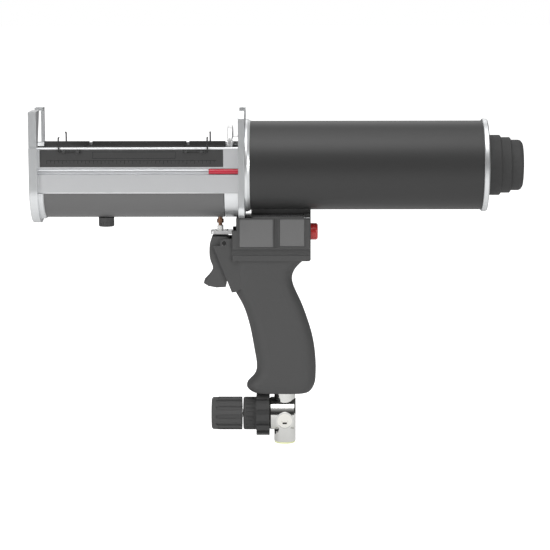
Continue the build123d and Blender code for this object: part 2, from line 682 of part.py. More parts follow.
with BuildPart() as thrust_rods:
    for x0, x1, radius in ((DISC_REAR, PISTON_X, ROD_R), (PISTON_X, PISTON_REAR + NUT_T, ROD_STUB_R)):
        with BuildSketch(Plane.YZ.offset(x0)):
            with Locations(*ROD_SPOTS):
                Circle(radius)
        extrude(amount=x1 - x0)
    with BuildSketch(Plane.YZ.offset(DISC_REAR)):
        with Locations(*ROD_SPOTS):
            Circle(DISC_SCREW_R)
    extrude(amount=DISC_SCREW_DEPTH, mode=Mode.SUBTRACT)
write(thrust_rods, "thrust_rods")

DISC_ROUND = 1.0

for name, disc_z, disc_r in (("upper", UPPER_Z, UPPER_DISC_R), ("lower", LOWER_Z, LOWER_DISC_R)):
    with BuildPart() as thrust_disc:
        with BuildSketch(Plane.YZ.offset(DISC_X)):
            with Locations((0, disc_z)):
                Circle(disc_r)
        extrude(amount=DISC_T)
        fillet(thrust_disc.edges().filter_by(GeomType.CIRCLE), DISC_ROUND)
        with BuildSketch(Plane.YZ.offset(DISC_X)):
            with Locations((0, disc_z)):
                Circle(DISC_SCREW_HEAD_R + SUNK)
        extrude(amount=DISC_SCREW_HEAD, mode=Mode.SUBTRACT)
        with BuildSketch(Plane.YZ.offset(DISC_X)):
            with Locations((0, disc_z)):
                Circle(DISC_SCREW_R)
        extrude(amount=DISC_T, mode=Mode.SUBTRACT)
    write(thrust_disc, f"thrust_disc_{name}")

with BuildPart() as thrust_disc_screws:
    with BuildSketch(Plane.YZ.offset(DISC_X + SUNK)):
        with Locations(*ROD_SPOTS):
            Circle(DISC_SCREW_HEAD_R)
    extrude(amount=DISC_SCREW_HEAD - SUNK)
    with BuildSketch(Plane.YZ.offset(DISC_X + DISC_SCREW_HEAD)):
        with Locations(*ROD_SPOTS):
            Circle(DISC_SCREW_R)
    extrude(amount=DISC_T - DISC_SCREW_HEAD + DISC_SCREW_DEPTH)
    with BuildSketch(Plane.YZ.offset(DISC_X + SUNK)):
        with Locations(*ROD_SPOTS):
            RegularPolygon(radius=HEX_M6, side_count=6)
    extrude(amount=HEX_DEPTH, mode=Mode.SUBTRACT)
write(thrust_disc_screws, "thrust_disc_screws")

with BuildPart() as piston:
    outer = BORE_R - PISTON_CLEAR
    add(turned([
        (PISTON_X, 0), (PISTON_X, outer), (GUIDE_X, outer), (GUIDE_X, BORE_R - GUIDE_DEPTH),
        (GUIDE_X + GUIDE_WIDTH, BORE_R - GUIDE_DEPTH), (GUIDE_X + GUIDE_WIDTH, outer), (SEAL_X, outer),
        (SEAL_X, BORE_R - SEAL_DEPTH), (SEAL_X + SEAL_WIDTH, BORE_R - SEAL_DEPTH),
        (SEAL_X + SEAL_WIDTH, outer), (PISTON_REAR, outer), (PISTON_REAR, 0),
    ]))
    with BuildSketch(Plane.YZ.offset(PISTON_X)):
        with Locations(*ROD_SPOTS):
            Circle(ROD_STUB_R)
    extrude(amount=PISTON_T, mode=Mode.SUBTRACT)
    with BuildSketch(Plane.YZ.offset(PISTON_X)):
        with Locations(INDICATOR_SPOT):
            Circle(INDICATOR_STUB_R)
    extrude(amount=INDICATOR_STUB, mode=Mode.SUBTRACT)
write(piston, "piston")

RINGS = {
    "piston_seal": (SEAL_X, SEAL_WIDTH, SEAL_DEPTH),
    "piston_guide_ring": (GUIDE_X, GUIDE_WIDTH, GUIDE_DEPTH),
}
for name, (ring_x, ring_width, ring_depth) in RINGS.items():
    with BuildPart() as ring:
        add(turned([
            (ring_x, BORE_R - ring_depth), (ring_x, BORE_R - RUNNING),
            (ring_x + ring_width, BORE_R - RUNNING), (ring_x + ring_width, BORE_R - ring_depth),
        ]))
    write(ring, name)

with BuildPart() as rod_nuts:
    with BuildSketch(Plane.YZ.offset(PISTON_REAR)):
        with Locations(*ROD_SPOTS):
            RegularPolygon(radius=NUT_AF / 2, side_count=6, major_radius=False)
            Circle(ROD_STUB_R, mode=Mode.SUBTRACT)
    extrude(amount=NUT_T)
write(rod_nuts, "rod_nuts")

INDICATOR_ROUND = 0.6

with BuildPart() as indicator_rod:
    with BuildSketch(Plane.YZ.offset(INDICATOR_TIP)):
        with Locations(INDICATOR_SPOT):
            Circle(INDICATOR_R)
    extrude(amount=PISTON_X - INDICATOR_TIP)
    fillet(indicator_rod.faces().sort_by(Axis.X)[0].edges(), INDICATOR_ROUND)
    with BuildSketch(Plane.YZ.offset(PISTON_X)):
        with Locations(INDICATOR_SPOT):
            Circle(INDICATOR_STUB_R)
    extrude(amount=INDICATOR_STUB)
write(indicator_rod, "indicator_rod")

# ---------------------------------------------------------------- saddle under the cylinder
SADDLE_X = TUBE_X + 0.8
HEAD_RAISED_REAR = HEAD_REAR - SADDLE_END
SADDLE_BLOCK = 12.0       # height before the cylinder's seat is cut away
SADDLE_END_LIFT = 5.0
SADDLE_BEVEL = 1.5

with BuildPart() as saddle:
    with BuildSketch(Plane.XY.offset(HEAD_RAISED)):
        with Locations(((SADDLE_X + HEAD_REAR) / 2, 0)):
            Rectangle(HEAD_REAR - SADDLE_X, 2 * SADDLE_HALF)
    extrude(amount=SADDLE_BLOCK)
    with BuildSketch(Plane.XY.offset(HEAD_RAISED)):
        with Locations(((SADDLE_X + HEAD_REAR) / 2, 0)):
            Rectangle(HEAD_REAR - SADDLE_X, 2 * HEAD_HALF - 1)
    extrude(amount=SADDLE_FLANGE)
    with BuildSketch(Plane.XY.offset(HEAD_TOP)):
        with Locations((HEAD_REAR - SADDLE_END / 2, 0)):
            Rectangle(SADDLE_END, 2 * HEAD_HALF - 1)
    extrude(amount=SADDLE_END_LIFT)
    chamfer(saddle.edges().filter_by(Axis.Y).group_by(Axis.X)[-1].sort_by(Axis.Z)[-1], SADDLE_BEVEL)
    with BuildSketch(Plane.YZ.offset(SADDLE_X)):
        Circle(TUBE_R + SEAT_GAP)
    extrude(amount=HEAD_REAR - SADDLE_X, mode=Mode.SUBTRACT)
write(saddle, "saddle")

# ---------------------------------------------------------------- grip housing, two shells
LABELS = ((218.6, -67.4, 34.0, 28.4), (255.0, -66.9, 25.0, 27.6))
LABEL_GAP = 0.1
GROOVE_PLACE = (238.4, -67.5, 3.6, 29.0)
HOUSING_SCREWS = ((268.2, -88.5), (210.0, -104.0), (227.0, -152.0), (265.5, -216.0), (229.5, -212.0))
BOSS_R = 4.6
BOSS_HALF = 15.2
HOUSING_SCREW_R = 1.9
HOUSING_HEAD_R = 3.5
HOUSING_HEAD_Y = 9.0
HOUSING_HEAD = 2.6
HOUSING_SCREW_END = 11.0
POCKET_HALF = TRIGGER_HALF + 0.5
CHEEK = ((174.7, -80.6), (205.0, -80.6), (205.0, -124.0), (198.0, -128.0), (193.6, -128.6))
EAR = ((182.0, -80.6), (182.0, -75.0), (186.0, -73.6), (196.0, -73.6), (196.0, -80.6))
POCKET_X0 = 190.0
POCKET_X1 = 201.0
POCKET_TOP = -60.0
POCKET_BOTTOM = -126.0
HEAD_BEVEL = 1.5
HEAD_ROUND = 2.2
WAIST_OUT = 1.2           # how far the waist groove's centre lies outside the head
BUTTON_RECESS = 1.2
PIPE_X = VALVE_X0 + 29.0
PIPE_HOLE_DEPTH = 6.0
LABEL_ROUND = 0.8
SCREW_CLEAR = 0.1
NIPPLE_TOP = -216.0
PIPE_R = 4.0
PIPE_BORE = 2.5


def grip_solid(inset, first, last):
    """The grip as a loft through its sections, each drawn in by the inset."""
    with BuildPart() as body:
        for height, front, rear, half in GRIP[first:last]:
            with BuildSketch(Plane.XY.offset(height)):
                with Locations(((front + rear) / 2, 0)):
                    width = 2 * (half - inset)
                    RectangleRounded(rear - front - 2 * inset, width, GRIP_ROUND * width / 2)
        loft()
    return body.part


with BuildPart() as head_box:
    with BuildSketch(Plane.XZ.offset(-HEAD_HALF)):
        Polygon(
            (HEAD_FRONT, HEAD_TOP), (SADDLE_X, HEAD_TOP), (SADDLE_X, HEAD_RAISED),
            (HEAD_RAISED_REAR, HEAD_RAISED), (HEAD_RAISED_REAR, HEAD_TOP), (HEAD_REAR, HEAD_TOP),
            (HEAD_REAR, HEAD_BOTTOM + HEAD_BEVEL), (HEAD_REAR - HEAD_BEVEL, HEAD_BOTTOM),
            (HEAD_FRONT - HEAD_STEP_X, HEAD_BOTTOM), (HEAD_FRONT - HEAD_STEP_X, HEAD_STEP_Z),
            (HEAD_FRONT, HEAD_STEP_Z), align=None,
        )
    extrude(amount=2 * HEAD_HALF)
    fillet(head_box.edges().filter_by(Axis.Z), HEAD_ROUND)
    with BuildSketch(Plane.YZ.offset(HEAD_FRONT - CUT_PAST)):
        for side in (-1, 1):
            with Locations((side * (HEAD_HALF + WAIST_OUT), WAIST_Z)):
                Circle(WAIST_R)
    extrude(amount=HEAD_REAR - HEAD_FRONT + 2 * CUT_PAST, mode=Mode.SUBTRACT)

with BuildPart() as housing:
    add(head_box.part)
    add(grip_solid(0, 0, len(GRIP)))
    for side in (-1, 1):
        with BuildSketch(Plane.XZ.offset(-side * POCKET_HALF)):
            Polygon(*CHEEK, align=None)
        extrude(amount=-side * (CHEEK_HALF - POCKET_HALF))
    # Hollow grip with its screw bosses
    add(grip_solid(GRIP_WALL, 1, len(GRIP) - 2), mode=Mode.SUBTRACT)
    with BuildSketch(Plane.XZ.offset(-BOSS_HALF)):
        with Locations(*HOUSING_SCREWS[1:]):
            Circle(BOSS_R)
    extrude(amount=2 * BOSS_HALF)
    # Trigger pocket, valve pocket and bores
    with BuildSketch(Plane.XZ.offset(-POCKET_HALF)):
        with Locations(((POCKET_X0 + POCKET_X1) / 2, (POCKET_TOP + POCKET_BOTTOM) / 2)):
            Rectangle(POCKET_X1 - POCKET_X0, POCKET_TOP - POCKET_BOTTOM)
    extrude(amount=2 * POCKET_HALF, mode=Mode.SUBTRACT)
    with BuildSketch(Plane.XZ.offset(-VALVE_HALF)):
        with Locations(((VALVE_X0 + VALVE_X1) / 2, (VALVE_TOP + VALVE_BOTTOM) / 2)):
            Rectangle(VALVE_X1 - VALVE_X0, VALVE_TOP - VALVE_BOTTOM)
    extrude(amount=2 * VALVE_HALF, mode=Mode.SUBTRACT)
    with BuildSketch(Plane.YZ.offset(POCKET_X1)):
        with Locations((0, STEM_Z)):
            Circle(STEM_R + FREE)
    extrude(amount=VALVE_X0 - POCKET_X1, mode=Mode.SUBTRACT)
    with BuildSketch(Plane.YZ.offset(VALVE_X1)):
        with Locations((0, BUTTON_Z)):
            Circle(STEM_R + FREE)
    extrude(amount=HEAD_REAR - VALVE_X1, mode=Mode.SUBTRACT)
    with BuildSketch(Plane.YZ.offset(HEAD_REAR)):
        with Locations((0, BUTTON_Z)):
            Circle(BUTTON_R + FREE)
    extrude(amount=-(BUTTON_TRAVEL + BUTTON_RECESS), mode=Mode.SUBTRACT)
    with BuildSketch(Plane.XY.offset(VALVE_BOTTOM)):
        with Locations((PIPE_X, 0)):
            Circle(PIPE_R + FREE)
    extrude(amount=-PIPE_HOLE_DEPTH, mode=Mode.SUBTRACT)
    # Pivot pin, nipple hole and screw holes
    with BuildSketch(Plane.XY.offset(GRIP[-1][0] - 1)):
        with Locations((INLET_X, 0)):
            Circle(NIPPLE_STUB_R)
    extrude(amount=NIPPLE_TOP - GRIP[-1][0] + 1, mode=Mode.SUBTRACT)
    with BuildSketch(Plane.XZ.offset(-HEAD_HALF - 1)):
        with Locations(*HOUSING_SCREWS):
            Circle(HOUSING_HEAD_R + SCREW_CLEAR)
    extrude(amount=HEAD_HALF + 1 - HOUSING_HEAD_Y, mode=Mode.SUBTRACT)
    with BuildSketch(Plane.XZ.offset(-HOUSING_HEAD_Y)):
        with Locations(*HOUSING_SCREWS):
            Circle(HOUSING_SCREW_R)
    extrude(amount=HOUSING_HEAD_Y + HOUSING_SCREW_END, mode=Mode.SUBTRACT)
    # Label recesses and the vertical groove between them, on both sides
    for side in (-1, 1):
        for label_x, label_z, label_length, label_height in (*LABELS, GROOVE_PLACE):
            with BuildSketch(Plane.XZ.offset(-side * HEAD_HALF)):
                with Locations((label_x, label_z)):
                    RectangleRounded(label_length, label_height, LABEL_ROUND)
            extrude(amount=side * LABEL_DEPTH, mode=Mode.SUBTRACT)

for name, side in SIDES.items():
    with BuildPart() as housing_half:
        add(housing.part)
        split(bisect_by=Plane.XZ, keep=Keep.TOP if side < 0 else Keep.BOTTOM)
        # Ear that carries the pivot pin
        with BuildSketch(Plane.XZ.offset(-side * POCKET_HALF)):
            Polygon(*EAR, align=None)
        extrude(amount=-side * (CHEEK_HALF - POCKET_HALF))
        with BuildSketch(Plane.XZ.offset(-side * POCKET_HALF)):
            with Locations((PIVOT_X, PIVOT_Z)):
                Circle(PIN_R)
        extrude(amount=-side * (CHEEK_HALF - POCKET_HALF), mode=Mode.SUBTRACT)
    write(housing_half, f"housing_{name}")

with BuildPart() as label_plates:
    for side in (-1, 1):
        for label_x, label_z, label_length, label_height in LABELS:
            with BuildSketch(Plane.XZ.offset(-side * (HEAD_HALF - LABEL_DEPTH))):
                with Locations((label_x, label_z)):
                    RectangleRounded(label_length - 2 * LABEL_GAP, label_height - 2 * LABEL_GAP, LABEL_ROUND)
            extrude(amount=-side * LABEL_PLATE)
write(label_plates, "label_plates")

with BuildPart() as housing_screws:
    with BuildSketch(Plane.XZ.offset(-HOUSING_HEAD_Y - HOUSING_HEAD)):
        with Locations(*HOUSING_SCREWS):
            Circle(HOUSING_HEAD_R)
    extrude(amount=HOUSING_HEAD)
    with BuildSketch(Plane.XZ.offset(-HOUSING_HEAD_Y)):
        with Locations(*HOUSING_SCREWS):
            Circle(HOUSING_SCREW_R)
    extrude(amount=HOUSING_HEAD_Y + HOUSING_SCREW_END)
    with BuildSketch(Plane.XZ.offset(-HOUSING_HEAD_Y - HOUSING_HEAD)):
        with Locations(*HOUSING_SCREWS):
            RegularPolygon(radius=HEX_M4, side_count=6)
    extrude(amount=SMALL_HEX_DEPTH, mode=Mode.SUBTRACT)
write(housing_screws, "housing_screws")

# ---------------------------------------------------------------- trigger
TRIGGER_TOP = ((190.5, -73.4), (187.5, -71.9), (174.0, -71.6))
TRIGGER_BLADE = ((174.0, -71.6), (171.8, -77.0), (170.9, -85.0), (171.2, -92.5), (173.4, -99.5))
TRIGGER_TOE = ((173.4, -99.5), (174.0, -105.5), (171.7, -110.8), (167.6, -115.6), (164.4, -119.0))
TRIGGER_BACK = (
    (164.4, -119.0), (169.6, -122.3), (177.9, -123.9), (187.4, -123.4), (192.4, -86.0), (190.5, -73.4),
)
TRIGGER_ROUND = 0.9

with BuildPart() as trigger:
    with BuildSketch(Plane.XZ.offset(-TRIGGER_HALF)):
        with BuildLine():
            Polyline(*TRIGGER_TOP)
            Spline(*TRIGGER_BLADE)
            Spline(*TRIGGER_TOE)
            Polyline(*TRIGGER_BACK)
        make_face()
    extrude(amount=2 * TRIGGER_HALF)
    fillet(trigger.edges().group_by(Axis.X)[0], TRIGGER_ROUND)
    with BuildSketch(Plane.XZ.offset(-TRIGGER_HALF)):
        with Locations((PIVOT_X, PIVOT_Z)):
            Circle(PIN_R + RUNNING)
    extrude(amount=2 * TRIGGER_HALF, mode=Mode.SUBTRACT)
write(trigger, "trigger")

with BuildPart() as trigger_pin:
    with BuildSketch(Plane.XZ.offset(-CHEEK_HALF)):
        with Locations((PIVOT_X, PIVOT_Z)):
            Circle(PIN_R)
    extrude(amount=2 * CHEEK_HALF)
write(trigger_pin, "trigger_pin")

# ---------------------------------------------------------------- pilot bracket, collar and screw
BRACKET_TOP = -66.4
BRACKET_T = 3.4
PILOT_X = 181.8
COLLAR_R = 3.1
COLLAR_TOP = -61.3
PILOT_SCREW_R = 3.5
BRACKET_FRONT = 172.2
BRACKET_REAR = 194.0
BRACKET_WIDTH = 14.0
BRACKET_ROUND = 3.0
BRACKET_PINS = (176.6, 188.0)
BRACKET_PIN_R = 1.6
BRACKET_PIN_HEIGHT = 1.1
COLLAR_ROUND = 0.5
PILOT_STACK = ((COLLAR_TOP, -58.6, 2.0), (-58.6, -54.8, PILOT_SCREW_R), (-54.8, TROUGH_FLOOR, 2.4))

with BuildPart() as pilot_bracket:
    with BuildSketch(Plane.XY.offset(BRACKET_TOP - BRACKET_T)):
        with Locations(((BRACKET_FRONT + BRACKET_REAR) / 2, 0)):
            Rectangle(BRACKET_REAR - BRACKET_FRONT, BRACKET_WIDTH)
    extrude(amount=BRACKET_T)
    fillet(pilot_bracket.edges().filter_by(Axis.Z).group_by(Axis.X)[0], BRACKET_ROUND)
    with BuildSketch(Plane.XY.offset(BRACKET_TOP)):
        with Locations(*[(pin_x, 0) for pin_x in BRACKET_PINS]):
            Circle(BRACKET_PIN_R)
    extrude(amount=BRACKET_PIN_HEIGHT)
write(pilot_bracket, "pilot_bracket")

with BuildPart() as pilot_collar:
    with BuildSketch(Plane.XY.offset(BRACKET_TOP)):
        with Locations((PILOT_X, 0)):
            Circle(COLLAR_R)
    extrude(amount=COLLAR_TOP - BRACKET_TOP)
    fillet(pilot_collar.edges().group_by(Axis.Z)[-1], COLLAR_ROUND)
write(pilot_collar, "pilot_collar")

with BuildPart() as pilot_screw:
    for z0, z1, radius in PILOT_STACK:
        with BuildSketch(Plane.XY.offset(z0)):
            with Locations((PILOT_X, 0)):
                Circle(radius)
        extrude(amount=z1 - z0)
write(pilot_screw, "pilot_screw")

# ---------------------------------------------------------------- valve in the head
STEM_FLANGE = 2.5
STEM_FLANGE_R = CHAMBER_R - 0.4
STEM_SHOULDER = 214.0
STEM_CHAMBER_END = 228.0
BUTTON_SHOULDER = 247.0
BUTTON_CHAMBER_END = 234.0
SPRING_WALL = 0.9
STEM_ROUND = 0.8
BUTTON_ROUND = 2.2
BUTTON_SEAT = 0.6

with BuildPart() as valve_body:
    with BuildSketch(Plane.XZ.offset(-VALVE_HALF + RUNNING)):
        with Locations(((VALVE_X0 + VALVE_X1) / 2, (VALVE_TOP + VALVE_BOTTOM) / 2)):
            Rectangle(VALVE_X1 - VALVE_X0, VALVE_TOP - VALVE_BOTTOM)
    extrude(amount=2 * (VALVE_HALF - RUNNING))
    for bore_z, mouth, shoulder, chamber_end in (
        (STEM_Z, VALVE_X0, STEM_SHOULDER - FREE, STEM_CHAMBER_END),
        (BUTTON_Z, VALVE_X1, BUTTON_SHOULDER + FREE, BUTTON_CHAMBER_END),
    ):
        with BuildSketch(Plane.YZ.offset(mouth)):
            with Locations((0, bore_z)):
                Circle(STEM_R + RUNNING)
        extrude(amount=shoulder - mouth, mode=Mode.SUBTRACT)
        with BuildSketch(Plane.YZ.offset(shoulder)):
            with Locations((0, bore_z)):
                Circle(CHAMBER_R)
        extrude(amount=chamber_end - shoulder, mode=Mode.SUBTRACT)
    with BuildSketch(Plane.XY.offset(VALVE_BOTTOM)):
        with Locations((PIPE_X, 0)):
            Circle(PIPE_BORE)
    extrude(amount=CUT_PAST, mode=Mode.SUBTRACT)
write(valve_body, "valve_body")

with BuildPart() as valve_stem:
    with BuildSketch(Plane.YZ.offset(STEM_TIP)):
        with Locations((0, STEM_Z)):
            Circle(STEM_R)
    extrude(amount=STEM_SHOULDER - STEM_TIP)
    fillet(valve_stem.faces().sort_by(Axis.X)[0].edges(), STEM_ROUND)
    with BuildSketch(Plane.YZ.offset(STEM_SHOULDER)):
        with Locations((0, STEM_Z)):
            Circle(STEM_FLANGE_R)
    extrude(amount=STEM_FLANGE)
write(valve_stem, "valve_stem")

BUTTON_X = HEAD_REAR - BUTTON_SEAT
with BuildPart() as release_button:
    with BuildSketch(Plane.YZ.offset(BUTTON_X)):
        with Locations((0, BUTTON_Z)):
            Circle(BUTTON_R)
    extrude(amount=BUTTON_OUT + BUTTON_SEAT)
    fillet(release_button.faces().sort_by(Axis.X)[-1].edges(), BUTTON_ROUND)
    with BuildSketch(Plane.YZ.offset(BUTTON_SHOULDER)):
        with Locations((0, BUTTON_Z)):
            Circle(STEM_R)
    extrude(amount=BUTTON_X - BUTTON_SHOULDER)
    with BuildSketch(Plane.YZ.offset(BUTTON_SHOULDER)):
        with Locations((0, BUTTON_Z)):
            Circle(STEM_FLANGE_R)
    extrude(amount=-STEM_FLANGE)
write(release_button, "release_button")

SPRINGS = {
    "valve_spring": (STEM_SHOULDER + STEM_FLANGE, STEM_CHAMBER_END, STEM_Z, STEM_FLANGE_R),
    "button_spring": (BUTTON_CHAMBER_END, BUTTON_SHOULDER - STEM_FLANGE, BUTTON_Z, STEM_FLANGE_R),
}
for name, (spring_x0, spring_x1, spring_z, spring_r) in SPRINGS.items():
    with BuildPart() as spring:
        with BuildSketch(Plane.YZ.offset(spring_x0)):
            with Locations((0, spring_z)):
                Circle(spring_r)
                Circle(spring_r - SPRING_WALL, mode=Mode.SUBTRACT)
        extrude(amount=spring_x1 - spring_x0)
    write(spring, name)

# ---------------------------------------------------------------- air pipe and inlet nipple
PIPE_BENDS = (-112.0, -190.0)
PIPE_BEND_R = 60.0

with BuildPart() as air_pipe:
    with BuildLine() as pipe_path:
        FilletPolyline(
            (PIPE_X, 0, VALVE_BOTTOM), (PIPE_X, 0, PIPE_BENDS[0]), (INLET_X, 0, PIPE_BENDS[1]),
            (INLET_X, 0, NIPPLE_TOP), radius=PIPE_BEND_R,
        )
    with BuildSketch(Plane(origin=pipe_path.line @ 0, z_dir=pipe_path.line % 0)):
        Circle(PIPE_R)
        Circle(PIPE_BORE, mode=Mode.SUBTRACT)
    sweep()
write(air_pipe, "air_pipe")

NIPPLE_THREAD_R = 6.5
NIPPLE_SOCKET = -250.0

with BuildPart() as inlet_nipple:
    with BuildSketch(Plane.XY.offset(REG_Z)):
        with Locations((INLET_X, 0)):
            Circle(NIPPLE_R)
    extrude(amount=GRIP[-1][0] - REG_Z)
    with BuildSketch(Plane.YZ.offset(REG_X0)):
        with Locations((0, REG_Z)):
            Circle(REG_R + SEAT_GAP)
    extrude(amount=2 * (REG_X1 - REG_X0), mode=Mode.SUBTRACT)
    with BuildSketch(Plane.XY.offset(NIPPLE_SOCKET)):
        with Locations((INLET_X, 0)):
            Circle(NIPPLE_THREAD_R)
    extrude(amount=GRIP[-1][0] - NIPPLE_SOCKET)
    with BuildSketch(Plane.XY.offset(GRIP[-1][0])):
        with Locations((INLET_X, 0)):
            Circle(NIPPLE_STUB_R)
    extrude(amount=NIPPLE_TOP - GRIP[-1][0])
    with BuildSketch(Plane.XY.offset(NIPPLE_SOCKET)):
        with Locations((INLET_X, 0)):
            Circle(PIPE_BORE)
    extrude(amount=NIPPLE_TOP - NIPPLE_SOCKET, mode=Mode.SUBTRACT)
write(inlet_nipple, "inlet_nipple")

# ---------------------------------------------------------------- pressure regulator
CHAMBER_DEPTH = 6.0
DIAPHRAGM_R = 13.0
DIAPHRAGM_T = 1.6
PORT_BOSS_R = 9.2
PORT_BOSS = 18.3
PORT_DEPTH = 12.5
PLUG_SUNK = 0.6
HEX_R = 3.9
PLUG_FLOOR = 1.2
BODY_BEVEL = 1.6
INLET_RING_T = 2.0
INLET_RING_ROUND = 0.8
INLET_RING_IN = 0.4

with BuildPart() as regulator_body:
    with BuildSketch(Plane.YZ.offset(REG_X0)):
        with Locations((0, REG_Z)):
            Circle(REG_R)
    extrude(amount=REG_X1 - REG_X0)
    for end in (0, -1):
        chamfer(regulator_body.faces().sort_by(Axis.X)[end].edges(), BODY_BEVEL)
    with BuildSketch(Plane.XY.offset(INLET_BOTTOM)):
        with Locations((INLET_X, 0)):
            Circle(INLET_R)
    extrude(amount=REG_Z - INLET_BOTTOM)
    with BuildSketch(Plane.XZ.offset(-PORT_BOSS)):
        with Locations((INLET_X, GAUGE_Z)):
            Circle(PORT_BOSS_R)
    extrude(amount=2 * PORT_BOSS)
    with BuildSketch(Plane.XY.offset(INLET_BOTTOM)):
        with Locations((INLET_X, 0)):
            Circle(INLET_THREAD_R)
    extrude(amount=INLET_THREAD_DEPTH, mode=Mode.SUBTRACT)
    with BuildSketch(Plane.XY.offset(INLET_BOTTOM)):
        with Locations((INLET_X, 0)):
            Circle(PIPE_BORE)
    extrude(amount=NIPPLE_SOCKET - INLET_BOTTOM, mode=Mode.SUBTRACT)
    with BuildSketch(Plane.XY.offset(NIPPLE_SOCKET)):
        with Locations((INLET_X, 0)):
            Circle(NIPPLE_THREAD_R)
    extrude(amount=REG_R, mode=Mode.SUBTRACT)
    with BuildSketch(Plane.YZ.offset(REG_X0)):
        with Locations((0, REG_Z)):
            Circle(DIAPHRAGM_R)
    extrude(amount=CHAMBER_DEPTH, mode=Mode.SUBTRACT)
    for side in (-1, 1):
        with BuildSketch(Plane.XZ.offset(-side * PORT_DEPTH)):
            with Locations((INLET_X, GAUGE_Z)):
                Circle(GAUGE_R)
        extrude(amount=-side * (PORT_BOSS - PORT_DEPTH), mode=Mode.SUBTRACT)
write(regulator_body, "regulator_body")

with BuildPart() as gauge_plugs:
    for side in (-1, 1):
        with BuildSketch(Plane.XZ.offset(-side * PORT_DEPTH)):
            with Locations((INLET_X, GAUGE_Z)):
                Circle(GAUGE_R)
        extrude(amount=-side * (PORT_BOSS - PORT_DEPTH - PLUG_SUNK))
        with BuildSketch(Plane.XZ.offset(-side * (PORT_DEPTH + PLUG_FLOOR))):
            with Locations((INLET_X, GAUGE_Z)):
                RegularPolygon(radius=HEX_R, side_count=6)
        extrude(amount=-side * PORT_BOSS, mode=Mode.SUBTRACT)
write(gauge_plugs, "gauge_plugs")

with BuildPart() as inlet_ring:
    with BuildSketch(Plane.XY.offset(INLET_BOTTOM)):
        with Locations((INLET_X, 0)):
            Circle(INLET_R - INLET_RING_IN)
            Circle(INLET_THREAD_R + FREE, mode=Mode.SUBTRACT)
    extrude(amount=-INLET_RING_T)
    fillet(inlet_ring.edges().group_by(Axis.Z)[0].sort_by(SortBy.RADIUS)[-1], INLET_RING_ROUND)
write(inlet_ring, "inlet_ring")

SPRING_ROOM_R = 11.5
SPRING_ROOM_X = 213.0
SPINDLE_COLLAR = 2.6
BONNET_TEETH = 24
TOOTH_R = 1.1
TOOTH_PITCH = REG_R + 0.5
TOOTH_START = 3.0
TOOTH_END = 2.0
BONNET_BEVEL = 1.2
NUT_LOBE_PITCH = NUT_R + 1.2
NUT_LOBE_TURN = 15.0
NUT_NOTCH = (7.2, 5.2)

with BuildPart() as regulator_bonnet:
    for x0, x1, radius in ((BONNET_X0, COLLAR_X1, REG_R), (COLLAR_X1, REG_X0, NECK_R)):
        with BuildSketch(Plane.YZ.offset(x0)):
            with Locations((0, REG_Z)):
                Circle(radius)
        extrude(amount=x1 - x0)
    chamfer(regulator_bonnet.faces().sort_by(Axis.X)[0].edges(), BONNET_BEVEL)
    with BuildSketch(Plane.YZ.offset(BONNET_X0 + TOOTH_START)):
        with Locations((0, REG_Z)):
            with PolarLocations(TOOTH_PITCH, BONNET_TEETH):
                Circle(TOOTH_R)
    extrude(amount=COLLAR_X1 - BONNET_X0 - TOOTH_START - TOOTH_END, mode=Mode.SUBTRACT)
    with BuildSketch(Plane.YZ.offset(SPRING_ROOM_X)):
        with Locations((0, REG_Z)):
            Circle(SPRING_ROOM_R)
    extrude(amount=REG_X0 - SPRING_ROOM_X, mode=Mode.SUBTRACT)
    with BuildSketch(Plane.YZ.offset(BONNET_X0)):
        with Locations((0, REG_Z)):
            Circle(SPINDLE_R + RUNNING)
    extrude(amount=SPRING_ROOM_X - BONNET_X0, mode=Mode.SUBTRACT)
write(regulator_bonnet, "regulator_bonnet")

with BuildPart() as panel_nut:
    with BuildSketch(Plane.YZ.offset(COLLAR_X1)):
        with Locations((0, REG_Z)):
            Circle(NUT_R)
            with PolarLocations(NUT_LOBE_PITCH, NUT_LOBES, start_angle=NUT_LOBE_TURN):
                Rectangle(*NUT_NOTCH, mode=Mode.SUBTRACT)
            Circle(NECK_R, mode=Mode.SUBTRACT)
    extrude(amount=REG_X0 - COLLAR_X1)
write(panel_nut, "panel_nut")

with BuildPart() as diaphragm:
    with BuildSketch(Plane.YZ.offset(REG_X0)):
        with Locations((0, REG_Z)):
            Circle(DIAPHRAGM_R)
    extrude(amount=DIAPHRAGM_T)
write(diaphragm, "diaphragm")

SPINDLE_X = KNOB_X0 + 6.0
HUB_R = 7.0
HUB_X1 = 196.0
KNOB_WALL = 3.2
KNOB_ROUND = 2.4
KNOB_ROOM_X = KNOB_X0 + 12.0
FLUTE = (2.6, 3.4)
FLUTE_PITCH = KNOB_R + 0.4
FLUTE_START = 5.0
SPINDLE_TO_DIAPHRAGM = 3.0
SPINDLE_COLLAR_CLEAR = 0.5
COIL_OUT_CLEAR = 1.5
COIL_IN_CLEAR = 3.8

with BuildPart() as regulator_spindle:
    with BuildSketch(Plane.YZ.offset(SPINDLE_X)):
        with Locations((0, REG_Z)):
            Circle(SPINDLE_R)
    extrude(amount=REG_X0 - SPINDLE_TO_DIAPHRAGM - SPINDLE_X)
    with BuildSketch(Plane.YZ.offset(SPRING_ROOM_X + FREE)):
        with Locations((0, REG_Z)):
            Circle(SPRING_ROOM_R - SPINDLE_COLLAR_CLEAR)
    extrude(amount=SPINDLE_COLLAR)
write(regulator_spindle, "regulator_spindle")

with BuildPart() as regulator_spring:
    with BuildSketch(Plane.YZ.offset(SPRING_ROOM_X + FREE + SPINDLE_COLLAR)):
        with Locations((0, REG_Z)):
            Circle(SPRING_ROOM_R - COIL_OUT_CLEAR)
            Circle(SPRING_ROOM_R - COIL_IN_CLEAR, mode=Mode.SUBTRACT)
    extrude(amount=REG_X0 - SPRING_ROOM_X - FREE - SPINDLE_COLLAR)
write(regulator_spring, "regulator_spring")

